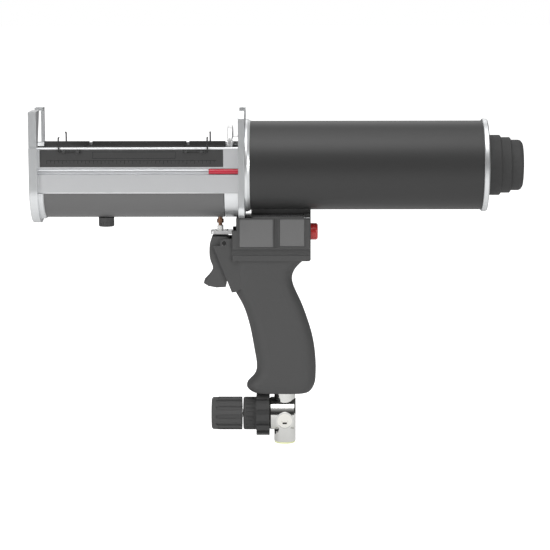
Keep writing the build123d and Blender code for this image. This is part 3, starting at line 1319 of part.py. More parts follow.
with BuildPart() as regulator_knob:
    with BuildSketch(Plane.YZ.offset(KNOB_X0)):
        with Locations((0, REG_Z)):
            Circle(KNOB_R)
    extrude(amount=KNOB_X1 - KNOB_X0)
    fillet(regulator_knob.faces().sort_by(Axis.X)[0].edges(), KNOB_ROUND)
    with BuildSketch(Plane.YZ.offset(KNOB_X0 + FLUTE_START)):
        with Locations((0, REG_Z)):
            with PolarLocations(FLUTE_PITCH, KNOB_FLUTES):
                Rectangle(*FLUTE)
    extrude(amount=KNOB_X1 - KNOB_X0, mode=Mode.SUBTRACT)
    with BuildSketch(Plane.YZ.offset(KNOB_ROOM_X)):
        with Locations((0, REG_Z)):
            Circle(KNOB_R - KNOB_WALL)
            Circle(HUB_R, mode=Mode.SUBTRACT)
    extrude(amount=KNOB_X1 - KNOB_X0, mode=Mode.SUBTRACT)
    with BuildSketch(Plane.YZ.offset(HUB_X1)):
        with Locations((0, REG_Z)):
            Circle(HUB_R)
    extrude(amount=KNOB_X1 - HUB_X1 + 1, mode=Mode.SUBTRACT)
    with BuildSketch(Plane.YZ.offset(SPINDLE_X - FREE)):
        with Locations((0, REG_Z)):
            Circle(SPINDLE_R + RUNNING)
    extrude(amount=KNOB_X1 - SPINDLE_X + 1, mode=Mode.SUBTRACT)
write(regulator_knob, "regulator_knob")
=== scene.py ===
"""Looks of a pneumatic gun for twin-barrel cartridges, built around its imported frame. Units are metres."""

import json
import logging
import math
from dataclasses import dataclass, field
from enum import Enum

import bpy
from mathutils import Matrix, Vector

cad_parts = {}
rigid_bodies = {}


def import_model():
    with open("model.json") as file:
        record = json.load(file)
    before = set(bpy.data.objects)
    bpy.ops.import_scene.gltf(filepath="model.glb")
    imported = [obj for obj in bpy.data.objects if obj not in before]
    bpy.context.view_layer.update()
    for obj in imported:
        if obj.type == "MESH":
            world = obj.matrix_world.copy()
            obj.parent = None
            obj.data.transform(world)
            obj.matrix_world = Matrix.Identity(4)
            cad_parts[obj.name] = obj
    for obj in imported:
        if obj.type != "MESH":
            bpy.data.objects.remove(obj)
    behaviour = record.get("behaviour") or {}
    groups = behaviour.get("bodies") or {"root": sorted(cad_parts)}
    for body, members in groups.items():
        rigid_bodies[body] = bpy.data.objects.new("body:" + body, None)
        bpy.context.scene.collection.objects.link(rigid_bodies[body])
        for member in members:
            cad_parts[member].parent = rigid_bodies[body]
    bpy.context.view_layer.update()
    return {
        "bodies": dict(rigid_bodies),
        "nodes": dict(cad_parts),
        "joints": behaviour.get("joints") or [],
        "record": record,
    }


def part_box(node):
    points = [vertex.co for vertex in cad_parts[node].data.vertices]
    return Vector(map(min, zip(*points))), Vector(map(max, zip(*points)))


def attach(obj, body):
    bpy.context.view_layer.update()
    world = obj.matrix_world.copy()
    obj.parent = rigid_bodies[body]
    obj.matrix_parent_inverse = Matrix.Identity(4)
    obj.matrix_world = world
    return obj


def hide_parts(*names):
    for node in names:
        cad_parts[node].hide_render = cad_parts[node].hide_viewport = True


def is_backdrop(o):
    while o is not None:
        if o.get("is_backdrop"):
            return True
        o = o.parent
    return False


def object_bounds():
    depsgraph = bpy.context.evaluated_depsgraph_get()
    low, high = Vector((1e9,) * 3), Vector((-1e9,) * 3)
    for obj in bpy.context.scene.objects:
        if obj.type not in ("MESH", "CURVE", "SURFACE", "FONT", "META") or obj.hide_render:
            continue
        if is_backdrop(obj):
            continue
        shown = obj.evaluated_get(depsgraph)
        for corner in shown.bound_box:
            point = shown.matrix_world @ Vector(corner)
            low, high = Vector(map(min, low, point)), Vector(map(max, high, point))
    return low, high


LOG = logging.getLogger("gun")
MM = 0.001
Colour = tuple[float, float, float]
Point = tuple[float, float, float]


class Grain(Enum):
    """How a surface was made, which sets its fine relief."""

    BLASTED = "blasted"
    DRAWN = "drawn"
    TURNED = "turned"
    ERODED = "eroded"
    SMOOTH = "smooth"


class Side(Enum):
    """The two sides of the gun; the value is the sign of Y."""

    NEAR = -1
    FAR = 1


# ---------------------------------------------------------------- shader node groups


@dataclass(frozen=True)
class NodeGroupMaker:
    """Builds each shared effect once and hands out its node group."""

    made: dict[str, bpy.types.NodeTree] = field(default_factory=dict)

    def _new(self, name: str, inputs: dict[str, float], outputs: dict[str, str]) -> bpy.types.NodeTree:
        """Start a group.

        Args:
            name: The group's name.
            inputs: Name and default of each value that it takes.
            outputs: Name and socket type of each result.

        Returns:
            The empty group with its sockets.
        """
        group = bpy.data.node_groups.new(name, "ShaderNodeTree")
        for label, value in inputs.items():
            socket = group.interface.new_socket(label, in_out="INPUT", socket_type="NodeSocketFloat")
            socket.default_value = value
        for label, kind in outputs.items():
            group.interface.new_socket(label, in_out="OUTPUT", socket_type=kind)
        self.made[name] = group
        return group

    def edge_wear(self) -> bpy.types.NodeTree:
        """Softened edges, with a mask of where hands and boxes have rubbed them."""
        name = "Edge wear"
        if name in self.made:
            return self.made[name]
        outputs = {"Mask": "NodeSocketFloat", "Normal": "NodeSocketVector"}
        group = self._new(name, {"Radius": 0.0004, "Amount": 0.3}, outputs)
        nodes, links = group.nodes, group.links
        entry, result = nodes.new("NodeGroupInput"), nodes.new("NodeGroupOutput")
        bevel = nodes.new("ShaderNodeBevel")
        bevel.samples = 6
        links.new(entry.outputs["Radius"], bevel.inputs["Radius"])
        surface = nodes.new("ShaderNodeNewGeometry")
        dot = nodes.new("ShaderNodeVectorMath")
        dot.operation = "DOT_PRODUCT"
        links.new(bevel.outputs["Normal"], dot.inputs[0])
        links.new(surface.outputs["True Normal"], dot.inputs[1])
        ramp = nodes.new("ShaderNodeMapRange")
        ramp.inputs["From Min"].default_value = 0.99
        ramp.inputs["From Max"].default_value = 0.75
        links.new(dot.outputs["Value"], ramp.inputs["Value"])
        place = nodes.new("ShaderNodeTexCoord")
        patches = nodes.new("ShaderNodeTexNoise")
        patches.inputs["Scale"].default_value = 90.0
        patches.inputs["Detail"].default_value = 4.0
        links.new(place.outputs["Object"], patches.inputs["Vector"])
        worn = nodes.new("ShaderNodeMath")
        worn.operation = "MULTIPLY"
        links.new(ramp.outputs["Result"], worn.inputs[0])
        links.new(patches.outputs["Fac"], worn.inputs[1])
        scaled = nodes.new("ShaderNodeMath")
        scaled.operation = "MULTIPLY"
        links.new(worn.outputs["Value"], scaled.inputs[0])
        links.new(entry.outputs["Amount"], scaled.inputs[1])
        links.new(scaled.outputs["Value"], result.inputs["Mask"])
        links.new(bevel.outputs["Normal"], result.inputs["Normal"])
        return group

    def grain(self, kind: Grain) -> bpy.types.NodeTree:
        """Fine relief and tint of one way of making a surface.

        Args:
            kind: The way it was made.

        Returns:
            A group with Scale in, Height and Tint out.
        """
        name = f"Grain {kind.value}"
        if name in self.made:
            return self.made[name]
        group = self._new(name, {"Scale": 900.0}, {"Height": "NodeSocketFloat", "Tint": "NodeSocketFloat"})
        nodes, links = group.nodes, group.links
        entry, result = nodes.new("NodeGroupInput"), nodes.new("NodeGroupOutput")
        place = nodes.new("ShaderNodeTexCoord")
        mapping = nodes.new("ShaderNodeMapping")
        stretch = {Grain.DRAWN: (0.02, 1.0, 1.0), Grain.TURNED: (1.0, 0.05, 0.05)}
        mapping.inputs["Scale"].default_value = stretch.get(kind, (1.0, 1.0, 1.0))
        links.new(place.outputs["Object"], mapping.inputs["Vector"])
        if kind is Grain.ERODED:
            pits = nodes.new("ShaderNodeTexVoronoi")
            pits.feature = "SMOOTH_F1"
            links.new(mapping.outputs["Vector"], pits.inputs["Vector"])
            links.new(entry.outputs["Scale"], pits.inputs["Scale"])
            links.new(pits.outputs["Distance"], result.inputs["Height"])
        else:
            fine = nodes.new("ShaderNodeTexNoise")
            fine.inputs["Detail"].default_value = 6.0 if kind is Grain.BLASTED else 3.0
            links.new(mapping.outputs["Vector"], fine.inputs["Vector"])
            links.new(entry.outputs["Scale"], fine.inputs["Scale"])
            links.new(fine.outputs["Fac"], result.inputs["Height"])
        broad = nodes.new("ShaderNodeTexNoise")
        broad.inputs["Scale"].default_value = 22.0
        broad.inputs["Detail"].default_value = 3.0
        links.new(mapping.outputs["Vector"], broad.inputs["Vector"])
        links.new(broad.outputs["Fac"], result.inputs["Tint"])
        return group


GROUPS = NodeGroupMaker()
FRAME: dict = {}


# ---------------------------------------------------------------- finishes


@dataclass(frozen=True)
class Finish:
    """One finish: what it is made of, how it was made and how it has aged."""

    name: str
    colour: Colour
    roughness: float
    metallic: float = 0.0
    grain: Grain = Grain.SMOOTH
    scale: float = 900.0
    relief: float = 0.05
    mottle: float = 0.05
    wear: float = 0.25
    wear_tone: float = 0.5
    edge: float = 0.0004
    specular: float = 0.5
    coat: float = 0.0

    def build(self) -> bpy.types.Material:
        """Make the material once.

        Returns:
            The material, or the one made before under this name.
        """
        known = bpy.data.materials.get(self.name)
        if known is not None:
            return known
        material = bpy.data.materials.new(self.name)
        material.use_nodes = True
        nodes, links = material.node_tree.nodes, material.node_tree.links
        shader = nodes["Principled BSDF"]
        shader.inputs["Metallic"].default_value = self.metallic
        shader.inputs["Specular IOR Level"].default_value = self.specular
        shader.inputs["Coat Weight"].default_value = self.coat
        shader.inputs["Coat Roughness"].default_value = 0.12

        wear = nodes.new("ShaderNodeGroup")
        wear.node_tree = GROUPS.edge_wear()
        wear.inputs["Radius"].default_value = self.edge
        wear.inputs["Amount"].default_value = self.wear
        grain = nodes.new("ShaderNodeGroup")
        grain.node_tree = GROUPS.grain(self.grain)
        grain.inputs["Scale"].default_value = self.scale

        tinted = nodes.new("ShaderNodeMix")
        tinted.data_type = "RGBA"
        tinted.inputs["A"].default_value = (*(c * (1 - self.mottle) for c in self.colour), 1)
        tinted.inputs["B"].default_value = (*(min(1.0, c * (1 + self.mottle)) for c in self.colour), 1)
        links.new(grain.outputs["Tint"], tinted.inputs["Factor"])
        rubbed = nodes.new("ShaderNodeMix")
        rubbed.data_type = "RGBA"
        rubbed.inputs["B"].default_value = (*(c + (1 - c) * self.wear_tone for c in self.colour), 1)
        links.new(tinted.outputs["Result"], rubbed.inputs["A"])
        links.new(wear.outputs["Mask"], rubbed.inputs["Factor"])
        links.new(rubbed.outputs["Result"], shader.inputs["Base Color"])

        gloss = nodes.new("ShaderNodeMapRange")
        gloss.inputs["To Min"].default_value = self.roughness * 0.85
        gloss.inputs["To Max"].default_value = min(1.0, self.roughness * 1.15)
        links.new(grain.outputs["Tint"], gloss.inputs["Value"])
        links.new(gloss.outputs["Result"], shader.inputs["Roughness"])

        bump = nodes.new("ShaderNodeBump")
        bump.inputs["Strength"].default_value = 1.0
        bump.inputs["Distance"].default_value = self.relief * MM
        links.new(grain.outputs["Height"], bump.inputs["Height"])
        links.new(wear.outputs["Normal"], bump.inputs["Normal"])
        links.new(bump.outputs["Normal"], shader.inputs["Normal"])
        return material


CAST_SILVER = Finish("cast_silver", (0.62, 0.62, 0.615), 0.48, 0.30, Grain.BLASTED, 1500, 0.02,
                     0.03, 0.5, 0.5)
RAIL_SILVER = Finish("rail_silver", (0.90, 0.90, 0.90), 0.45, 0.15, Grain.DRAWN, 2200, 0.006, 0.02,
                     0.4, 0.5)
SCALE_DARK = Finish("scale_dark", (0.082, 0.082, 0.082), 0.48, 0.3, Grain.DRAWN, 1500, 0.006, 0.05,
                    0.15)
PRINT_DARK = Finish("print_dark", (0.006, 0.006, 0.006), 0.55, 0.0, Grain.SMOOTH, 600, 0.002, 0.05,
                    0.0)
TROUGH_DARK = Finish("trough_dark", (0.048, 0.048, 0.048), 0.4, 0.2, Grain.DRAWN, 1500, 0.006, 0.04,
                     0.2)
LINER_BLACK = Finish("liner_black", (0.010, 0.009, 0.009), 0.5, 0.0, Grain.ERODED, 2200, 0.01, 0.1,
                     0.15, 0.15)
TUBE_BLACK = Finish("tube_black", (0.0035, 0.0032, 0.003), 0.30, 0.0, Grain.DRAWN, 1400, 0.004,
                    0.08, 0.3, 0.3, specular=0.22)
# Painted shade: the saddle is a silver plate whose face lies in shade under the cylinder, and this black
# paints that shade. Its strong edge wear lightens its edges, partly as wear and partly as painted highlight.
# The trigger pin is dressed in the same black.
SADDLE_SHADE_BLACK = Finish("saddle_shade_black", (0.012, 0.012, 0.012), 0.4, 0.2, Grain.DRAWN, 1400, 0.004,
                      0.08, 0.8, 0.6)
CAP_BLACK = Finish("cap_black", (0.010, 0.010, 0.0105), 0.40, 0.0, Grain.ERODED, 2600, 0.008, 0.08,
                   0.3, 0.2)
GRIP_BLACK = Finish("grip_black", (0.024, 0.024, 0.0245), 0.46, 0.0, Grain.ERODED, 1700, 0.035,
                    0.10, 0.3, 0.15, 0.0008)
TRIGGER_BLACK = Finish("trigger_black", (0.034, 0.034, 0.035), 0.46, 0.0, Grain.ERODED, 1900, 0.03,
                       0.1, 0.4, 0.15, 0.0006)
LABEL_GREY = Finish("label_grey", (0.085, 0.085, 0.086), 0.55, 0.0, Grain.ERODED, 3200, 0.012, 0.05,
                    0.1, 0.15)
KNOB_BLACK = Finish("knob_black", (0.013, 0.013, 0.0135), 0.28, 0.0, Grain.ERODED, 2600, 0.008, 0.1,
                    0.3, 0.2)
REGULATOR_BLACK = Finish("regulator_black", (0.006, 0.006, 0.006), 0.36, 0.0, Grain.ERODED, 2600,
                         0.01, 0.1, 0.3, 0.2, specular=0.3)
BUTTON_RED = Finish("button_red", (0.62, 0.03, 0.03), 0.35, 0.0, Grain.SMOOTH, 900, 0.004, 0.06,
                    0.2, 0.15, coat=0.3)
INDICATOR_RED = Finish("indicator_red", (0.38, 0.008, 0.022), 0.24, 0.0, Grain.DRAWN, 900, 0.003,
                       0.05, 0.2, 0.2, coat=0.5)
NICKEL = Finish("nickel", (0.40, 0.395, 0.38), 0.36, 0.75, Grain.BLASTED, 1300, 0.014, 0.06, 0.4,
                0.4)
NICKEL_BRIGHT = Finish("nickel_bright", (0.80, 0.79, 0.74), 0.2, 0.9, Grain.TURNED, 2400, 0.006,
                       0.05, 0.4, 0.4)
DISC_POLISHED = Finish("disc_polished", (0.78, 0.78, 0.78), 0.16, 1.0, Grain.TURNED, 2600, 0.004,
                       0.03, 0.3, 0.4)
ROD_CHROME = Finish("rod_chrome", (0.72, 0.72, 0.73), 0.12, 1.0, Grain.TURNED, 1800, 0.002, 0.02,
                    0.2, 0.4)
STEEL = Finish("steel", (0.42, 0.42, 0.43), 0.30, 1.0, Grain.TURNED, 1500, 0.004, 0.06, 0.4, 0.4)
WIRE_BLACK = Finish("wire_black", (0.008, 0.008, 0.008), 0.35, 0.0, Grain.SMOOTH, 900, 0.004, 0.05,
                    0.3, 0.3, 0.0002)
RING_YELLOW = Finish("ring_yellow", (0.72, 0.76, 0.38), 0.45, 0.0, Grain.SMOOTH, 900, 0.004, 0.04,
                     0.1, 0.3)
COLLAR_WHITE = Finish("collar_white", (0.80, 0.80, 0.76), 0.45, 0.0, Grain.SMOOTH, 900, 0.004, 0.03,
                      0.1, 0.3)
SCREW_BRONZE = Finish("screw_bronze", (0.12, 0.055, 0.045), 0.35, 0.8, Grain.TURNED, 1500, 0.006,
                      0.1, 0.4, 0.3)
BRACKET_LIGHT = Finish("bracket_light", (0.70, 0.70, 0.68), 0.35, 0.8, Grain.BLASTED, 1400, 0.01,
                       0.04, 0.3, 0.4)
BRONZE = Finish("bush_bronze", (0.42, 0.26, 0.12), 0.35, 0.9, Grain.TURNED, 1500, 0.01, 0.08, 0.3,
                0.3)
RUBBER = Finish("seal_rubber", (0.012, 0.012, 0.012), 0.7, 0.0, Grain.SMOOTH, 900, 0.01, 0.1, 0.0)
FELT = Finish("felt", (0.62, 0.60, 0.54), 0.95, 0.0, Grain.ERODED, 1200, 0.2, 0.12, 0.0, 0.2)
GUIDE_WHITE = Finish("guide_white", (0.78, 0.78, 0.74), 0.4, 0.0, Grain.TURNED, 1200, 0.006, 0.04,
                     0.0)
ALLOY = Finish("piston_alloy", (0.60, 0.60, 0.61), 0.32, 0.9, Grain.TURNED, 1600, 0.008, 0.05, 0.4,
               0.4)
PIPE_BLACK = Finish("pipe_black", (0.015, 0.015, 0.016), 0.4, 0.0, Grain.DRAWN, 900, 0.004, 0.06,
                    0.1)

NODE_FINISHES: dict[Finish, tuple[str, ...]] = {
    CAST_SILVER: ("front_plate", "front_collar", "rear_block", "flange_plate", "cylinder_front_cap",
                  "cylinder_end_cap"),
    # The saddle's black is painted shade over a silver plate; the trigger pin wears the same black.
    SADDLE_SHADE_BLACK: ("saddle", "trigger_pin"),
    RAIL_SILVER: ("side_rail_near", "side_rail_far"),
    SCALE_DARK: ("scale_panels",),
    TROUGH_DARK: ("trough",),
    LINER_BLACK: ("cradle_liner", "clip_saddles"),
    STEEL: ("rail_screws", "flange_screws", "thrust_disc_screws", "rod_nuts", "housing_screws",
            "valve_stem", "valve_spring", "button_spring", "regulator_spring", "regulator_spindle"),
    TUBE_BLACK: ("cylinder_tube",),
    RUBBER: ("tube_seals", "rod_seals", "piston_seal", "diaphragm"),
    CAP_BLACK: ("rear_cap",),
    FELT: ("silencer_felt",),
    BRONZE: ("rod_bushes",),
    ROD_CHROME: ("thrust_rods",),
    DISC_POLISHED: ("thrust_disc_upper", "thrust_disc_lower"),
    ALLOY: ("piston", "valve_body"),
    GUIDE_WHITE: ("piston_guide_ring",),
    INDICATOR_RED: ("indicator_rod",),
    GRIP_BLACK: ("housing_near", "housing_far"),
    LABEL_GREY: ("label_plates",),
    TRIGGER_BLACK: ("trigger",),
    BRACKET_LIGHT: ("pilot_bracket",),
    COLLAR_WHITE: ("pilot_collar",),
    SCREW_BRONZE: ("pilot_screw",),
    BUTTON_RED: ("release_button",),
    PIPE_BLACK: ("air_pipe",),
    NICKEL: ("inlet_nipple", "regulator_body"),
    NICKEL_BRIGHT: ("gauge_plugs",),
    RING_YELLOW: ("inlet_ring",),
    REGULATOR_BLACK: ("regulator_bonnet", "panel_nut"),
    KNOB_BLACK: ("regulator_knob", "trough_lock_knob"),
    WIRE_BLACK: ("clip_wire_front_near", "clip_wire_front_far", "clip_wire_rear_near", "clip_wire_rear_far"),
}


def dress_nodes(frame: dict) -> None:
    """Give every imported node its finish.
    """
    for finish, names in NODE_FINISHES.items():
        material = finish.build()
        for name in names:
            slots = frame["nodes"][name].material_slots
            for slot in slots:
                slot.material = material
            LOG.info("dressed %s in %s", name, finish.name)


# ---------------------------------------------------------------- mesh helpers


def clear_selection() -> None:
    """Deselect everything, so that an operator acts on the new piece alone."""
    if bpy.context.mode != "OBJECT":
        bpy.ops.object.mode_set(mode="OBJECT")
    bpy.ops.object.select_all(action="DESELECT")


def settle(piece: bpy.types.Object, name: str, finish: Finish, body: str) -> bpy.types.Object:
    """Apply a finished piece's place, dress it and let it ride on a body.

    Args:
        piece: The object.
        name: Its name.
        finish: What it is dressed in.
        body: The body that carries it.

    Returns:
        The piece.
    """
    clear_selection()
    piece.select_set(True)
    bpy.context.view_layer.objects.active = piece
    bpy.ops.object.transform_apply(location=True, rotation=True, scale=True)
    piece.name = name
    piece.data.name = name
    piece.data.materials.clear()
    piece.data.materials.append(finish.build())
    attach(piece, body)
    LOG.info("%s: %d faces on %s", name, len(piece.data.polygons), body)
    return piece


def join(pieces: list[bpy.types.Object]) -> bpy.types.Object:
    """Join pieces into the first one.

    Args:
        pieces: What to join.

    Returns:
        The joined object.
    """
    clear_selection()
    for piece in pieces:
        piece.select_set(True)
    bpy.context.view_layer.objects.active = pieces[0]
    if len(pieces) > 1:
        bpy.ops.object.join()
    return pieces[0]


def bar(centre: Point, size: Point, bevel: float = 0.0) -> bpy.types.Object:
    """A straight bar with softened edges.

    Args:
        centre: Its middle.
        size: Its lengths along X, Y and Z.
        bevel: Width of the softened edges, or 0 for none.

    Returns:
        The bar.
    """
    clear_selection()
    bpy.ops.mesh.primitive_cube_add(size=1.0, location=centre, scale=size)
    piece = bpy.context.active_object
    bpy.ops.object.transform_apply(location=False, rotation=False, scale=True)
    if bevel:
        bpy.ops.object.mode_set(mode="EDIT")
        bpy.ops.mesh.select_all(action="SELECT")
        bpy.ops.mesh.bevel(offset=bevel, segments=2)
        bpy.ops.object.mode_set(mode="OBJECT")
    return piece


# ---------------------------------------------------------------- cradle marks


@dataclass
class ScaleMarks:
    """Printed marks of the scale panels: a ticked line and an empty frame above it."""

    line: float = 0.42 * MM
    proud: float = 0.05 * MM
    sunk: float = 0.10 * MM
    end_margin: float = 7.0 * MM
    baseline: float = 6.6 * MM
    pitch: float = 3.9 * MM
    long_every: int = 2
    short_tick: float = 2.0 * MM
    long_tick: float = 3.4 * MM
    frame_start: float = 0.29
    frame_end: float = 0.74
    frame_low: float = 8.6 * MM
    frame_high: float = 15.2 * MM

    def build(self, side: Side) -> bpy.types.Object:
        """Make one side's marks as one piece.

        Args:
            side: Which panel.

        Returns:
            The marks.
        """
        low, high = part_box("scale_panels")
        x0, x1, z0 = low[0], high[0], low[2]
        face = low[1] if side is Side.NEAR else high[1]
        y = face + side.value * (self.proud - self.sunk) / 2
        depth = self.proud + self.sunk
        bars = []
        start, end = x0 + self.end_margin, x1 - self.end_margin
        line_z = z0 + self.baseline
        bars.append(bar(((start + end) / 2, y, line_z), (end - start, depth, self.line)))
        for index in range(int((end - start) / self.pitch) + 1):
            tick = self.long_tick if index % self.long_every == 0 else self.short_tick
            bars.append(bar((start + index * self.pitch, y, line_z - tick / 2), (self.line, depth, tick)))
        length = x1 - x0
        left, right = x0 + self.frame_start * length, x0 + self.frame_end * length
        middle = (self.frame_low + self.frame_high) / 2
        for z in (self.frame_low, self.frame_high):
            bars.append(bar(((left + right) / 2, y, z0 + z), (right - left, depth, self.line)))
        for x in (left, right):
            bars.append(bar((x, y, z0 + middle), (self.line, depth, self.frame_high - self.frame_low)))
        piece = join(bars)
        return settle(piece, f"scale_marks_{side.name.lower()}", PRINT_DARK, "gun")


# ---------------------------------------------------------------- springs


@dataclass
class CoilSpring:
    """A compression spring along X that stands for a plain sleeve."""

    node: str
    turns: int
    wire: float
    wire_sides: int = 10
    steps_a_turn: int = 24
    merge: float = 1e-7

    def build(self) -> bpy.types.Object:
        """Spin a wire round the spring's axis.

        Returns:
            The coil, closed at both ends.
        """
        low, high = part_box(self.node)
        radius = (high[1] - low[1]) / 2 - self.wire / 2
        middle_z = (low[2] + high[2]) / 2
        length = high[0] - low[0] - self.wire
        clear_selection()
        start = (low[0] + self.wire / 2, 0.0, middle_z + radius)
        bpy.ops.mesh.primitive_circle_add(vertices=self.wire_sides, radius=self.wire / 2, fill_type="NGON",
                                          location=start, rotation=(math.pi / 2, math.pi / 2, 0))
        bpy.ops.object.transform_apply(location=True, rotation=True, scale=True)
        coil = bpy.context.active_object
        pivot = bpy.data.objects.new("spring_axis", None)
        bpy.context.collection.objects.link(pivot)
        pivot.location = (low[0], 0.0, middle_z)
        screw = coil.modifiers.new("wind", "SCREW")
        screw.object = pivot
        screw.axis = "X"
        screw.angle = 2 * math.pi * self.turns
        screw.screw_offset = length
        screw.steps = self.steps_a_turn * self.turns
        screw.render_steps = screw.steps
        screw.use_merge_vertices = False
        bpy.context.view_layer.update()
        bpy.ops.object.modifier_apply(modifier=screw.name)
        bpy.data.objects.remove(pivot)
        bpy.ops.object.mode_set(mode="EDIT")
        bpy.ops.mesh.select_all(action="SELECT")
        bpy.ops.mesh.remove_doubles(threshold=self.merge)
        bpy.ops.mesh.normals_make_consistent(inside=False)
        bpy.ops.object.mode_set(mode="OBJECT")
        bpy.ops.object.shade_smooth()
        settle(coil, f"{self.node}_coil", STEEL, "gun")
        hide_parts(self.node)
        return coil


# ---------------------------------------------------------------- regulator


@dataclass
class KnobPads:
    """Raised finger pads between the flutes of the regulator knob."""

    count: int = 12
    width: float = 4.4 * MM
    height: float = 0.45 * MM
    front_margin: float = 6.5 * MM
    rim: float = 0.55 * MM
    rounding: float = 0.48
    dish: float = 0.35 * MM
    sunk: float = 0.2 * MM
    smooth_under: float = 35.0
    same_place: float = 1e-6
    faces_up: float = 0.9

    def build(self) -> bpy.types.Object:
        """Model one pad and copy it round the knob.

        Returns:
            All pads as one piece.
        """
        low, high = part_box("regulator_knob")
        radius = (high[2] - low[2]) / 2
        axis_z = (high[2] + low[2]) / 2
        start, end = low[0] + self.front_margin, high[0]
        pads = []
        for index in range(self.count):
            turn = 2 * math.pi * (index + 0.5) / self.count
            pad = self._pad((start + end) / 2, end - start, radius)
            pad.rotation_euler = (turn, 0.0, 0.0)
            pad.location = (0.0, 0.0, axis_z)
            clear_selection()
            pad.select_set(True)
            bpy.context.view_layer.objects.active = pad
            bpy.ops.object.transform_apply(location=True, rotation=True, scale=True)
            pads.append(pad)
        piece = join(pads)
        bpy.ops.object.shade_smooth_by_angle(angle=math.radians(self.smooth_under))
        return settle(piece, "knob_pads", KNOB_BLACK, "knob")

    def _pad(self, middle: float, length: float, radius: float) -> bpy.types.Object:
        """One pad on top of the knob's axis line, with a rounded front end and a raised rim.

        Args:
            middle: Its middle along X.
            length: Its length along X.
            radius: The knob's radius.

        Returns:
            The pad, for an axis at the origin.
        """
        piece = bar((middle, 0.0, radius - self.sunk), (length, self.width, 2 * self.height))
        bpy.ops.object.transform_apply(location=True, rotation=False, scale=True)
        mesh = piece.data
        bpy.ops.object.mode_set(mode="EDIT")
        bpy.ops.mesh.select_all(action="DESELECT")
        bpy.ops.object.mode_set(mode="OBJECT")
        front = min(v.co.x for v in mesh.vertices)
        for edge in mesh.edges:
            a, b = (mesh.vertices[i].co for i in edge.vertices)
            in_front = max(abs(a.x - front), abs(b.x - front)) < self.same_place
            edge.select = in_front and abs(a.z - b.z) > self.same_place
        bpy.ops.object.mode_set(mode="EDIT")
        bpy.ops.mesh.bevel(offset=self.width * self.rounding, segments=6)
        bpy.ops.mesh.select_all(action="DESELECT")
        bpy.ops.object.mode_set(mode="OBJECT")
        for face in mesh.polygons:
            face.select = face.normal.z > self.faces_up
        bpy.ops.object.mode_set(mode="EDIT")
        bpy.ops.mesh.select_mode(type="FACE")
        bpy.ops.mesh.inset(thickness=self.rim)
        bpy.ops.transform.translate(value=(0, 0, -self.dish))
        bpy.ops.object.mode_set(mode="OBJECT")
        return piece


@dataclass
class HeadTrim:
    """Raised rims of the label panels, the button's ribs and the bright edge under the cylinder, which is a
    painted highlight on the saddle.

    Each panel is its middle's X and Z, its length and its height.
    """

    rim: float = 1.1 * MM
    proud: float = 0.35 * MM
    sunk: float = 0.5 * MM
    gap: float = 0.35 * MM
    bevel: float = 0.12 * MM
    panels: tuple[tuple[float, float, float, float], ...] = (
        (0.2186, -0.0674, 0.0340, 0.0284), (0.2550, -0.0669, 0.0250, 0.0276))
    rib_count: int = 18
    rib_radius: float = 8.6 * MM
    rib_width: float = 0.9 * MM
    rib_proud: float = 0.25 * MM
    rib_start: float = 6.6 * MM
    rib_end: float = 2.6 * MM
    edge_height: float = 0.7 * MM
    edge_depth: float = 1.0 * MM
    edge_rise: float = 1.4 * MM
    edge_shift: float = 2.0 * MM
    edge_short: float = 6.0 * MM
    edge_inset: float = 0.4 * MM
    saddle_half: float = 18.5 * MM
    panel_sunk: float = 0.3 * MM

    def build_rims(self, side: Side) -> bpy.types.Object:
        """Frame both label panels on one side.

        Args:
            side: Which side.

        Returns:
            The frames as one piece.
        """
        face = side.value * self._head_half()
        depth = self.proud + self.sunk
        y = face + side.value * (self.proud - self.sunk) / 2
        bars = []
        for x, z, length, height in self.panels:
            reach, rise = length / 2 + self.gap, height / 2 + self.gap
            for step in (-1, 1):
                bars.append(bar((x, y, z + step * (rise + self.rim / 2)),
                                (2 * (reach + self.rim), depth, self.rim), self.bevel))
                bars.append(bar((x + step * (reach + self.rim / 2), y, z),
                                (self.rim, depth, 2 * rise), self.bevel))
        return settle(join(bars), f"label_rims_{side.name.lower()}", GRIP_BLACK, "gun")

    def build_ribs(self) -> bpy.types.Object:
        """Lay ribs round the release button.

        Returns:
            The ribs as one piece.
        """
        _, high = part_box("release_button")
        start, end = high[0] - self.rib_start, high[0] - self.rib_end
        z = high[2] - self.rib_radius
        ribs = []
        for index in range(self.rib_count):
            turn = 2 * math.pi * index / self.rib_count
            rib = bar((0.0, 0.0, 0.0), (end - start, self.rib_width, 2 * self.rib_proud), self.bevel)
            rib.data.transform(_turn_about_x(turn, z, (start + end) / 2, self.rib_radius - self.rib_proud))
            ribs.append(rib)
        return settle(join(ribs), "button_ribs", BUTTON_RED, "release_button")

    def build_edge(self) -> bpy.types.Object:
        """A bright silver strip along the top of the saddle: a painted highlight for its lit top edge, above
        a face painted black as shade.

        Returns:
            The edge strips of both sides.
        """
        low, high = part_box("saddle")
        x = (low[0] + high[0]) / 2 + self.edge_shift
        y, z = self.saddle_half - self.edge_inset, low[2] + self.edge_rise
        size = (high[0] - low[0] - self.edge_short, self.edge_depth, self.edge_height)
        # Painted highlight: bright silver strips for the lit top edge of the saddle.
        strips = [bar((x, step * y, z), size, self.bevel) for step in (-1, 1)]
        return settle(join(strips), "saddle_highlight_strips", RAIL_SILVER, "gun")

    def _head_half(self) -> float:
        """Half the head's width, from its label plates."""
        _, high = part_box("label_plates")
        return high[1] + self.panel_sunk


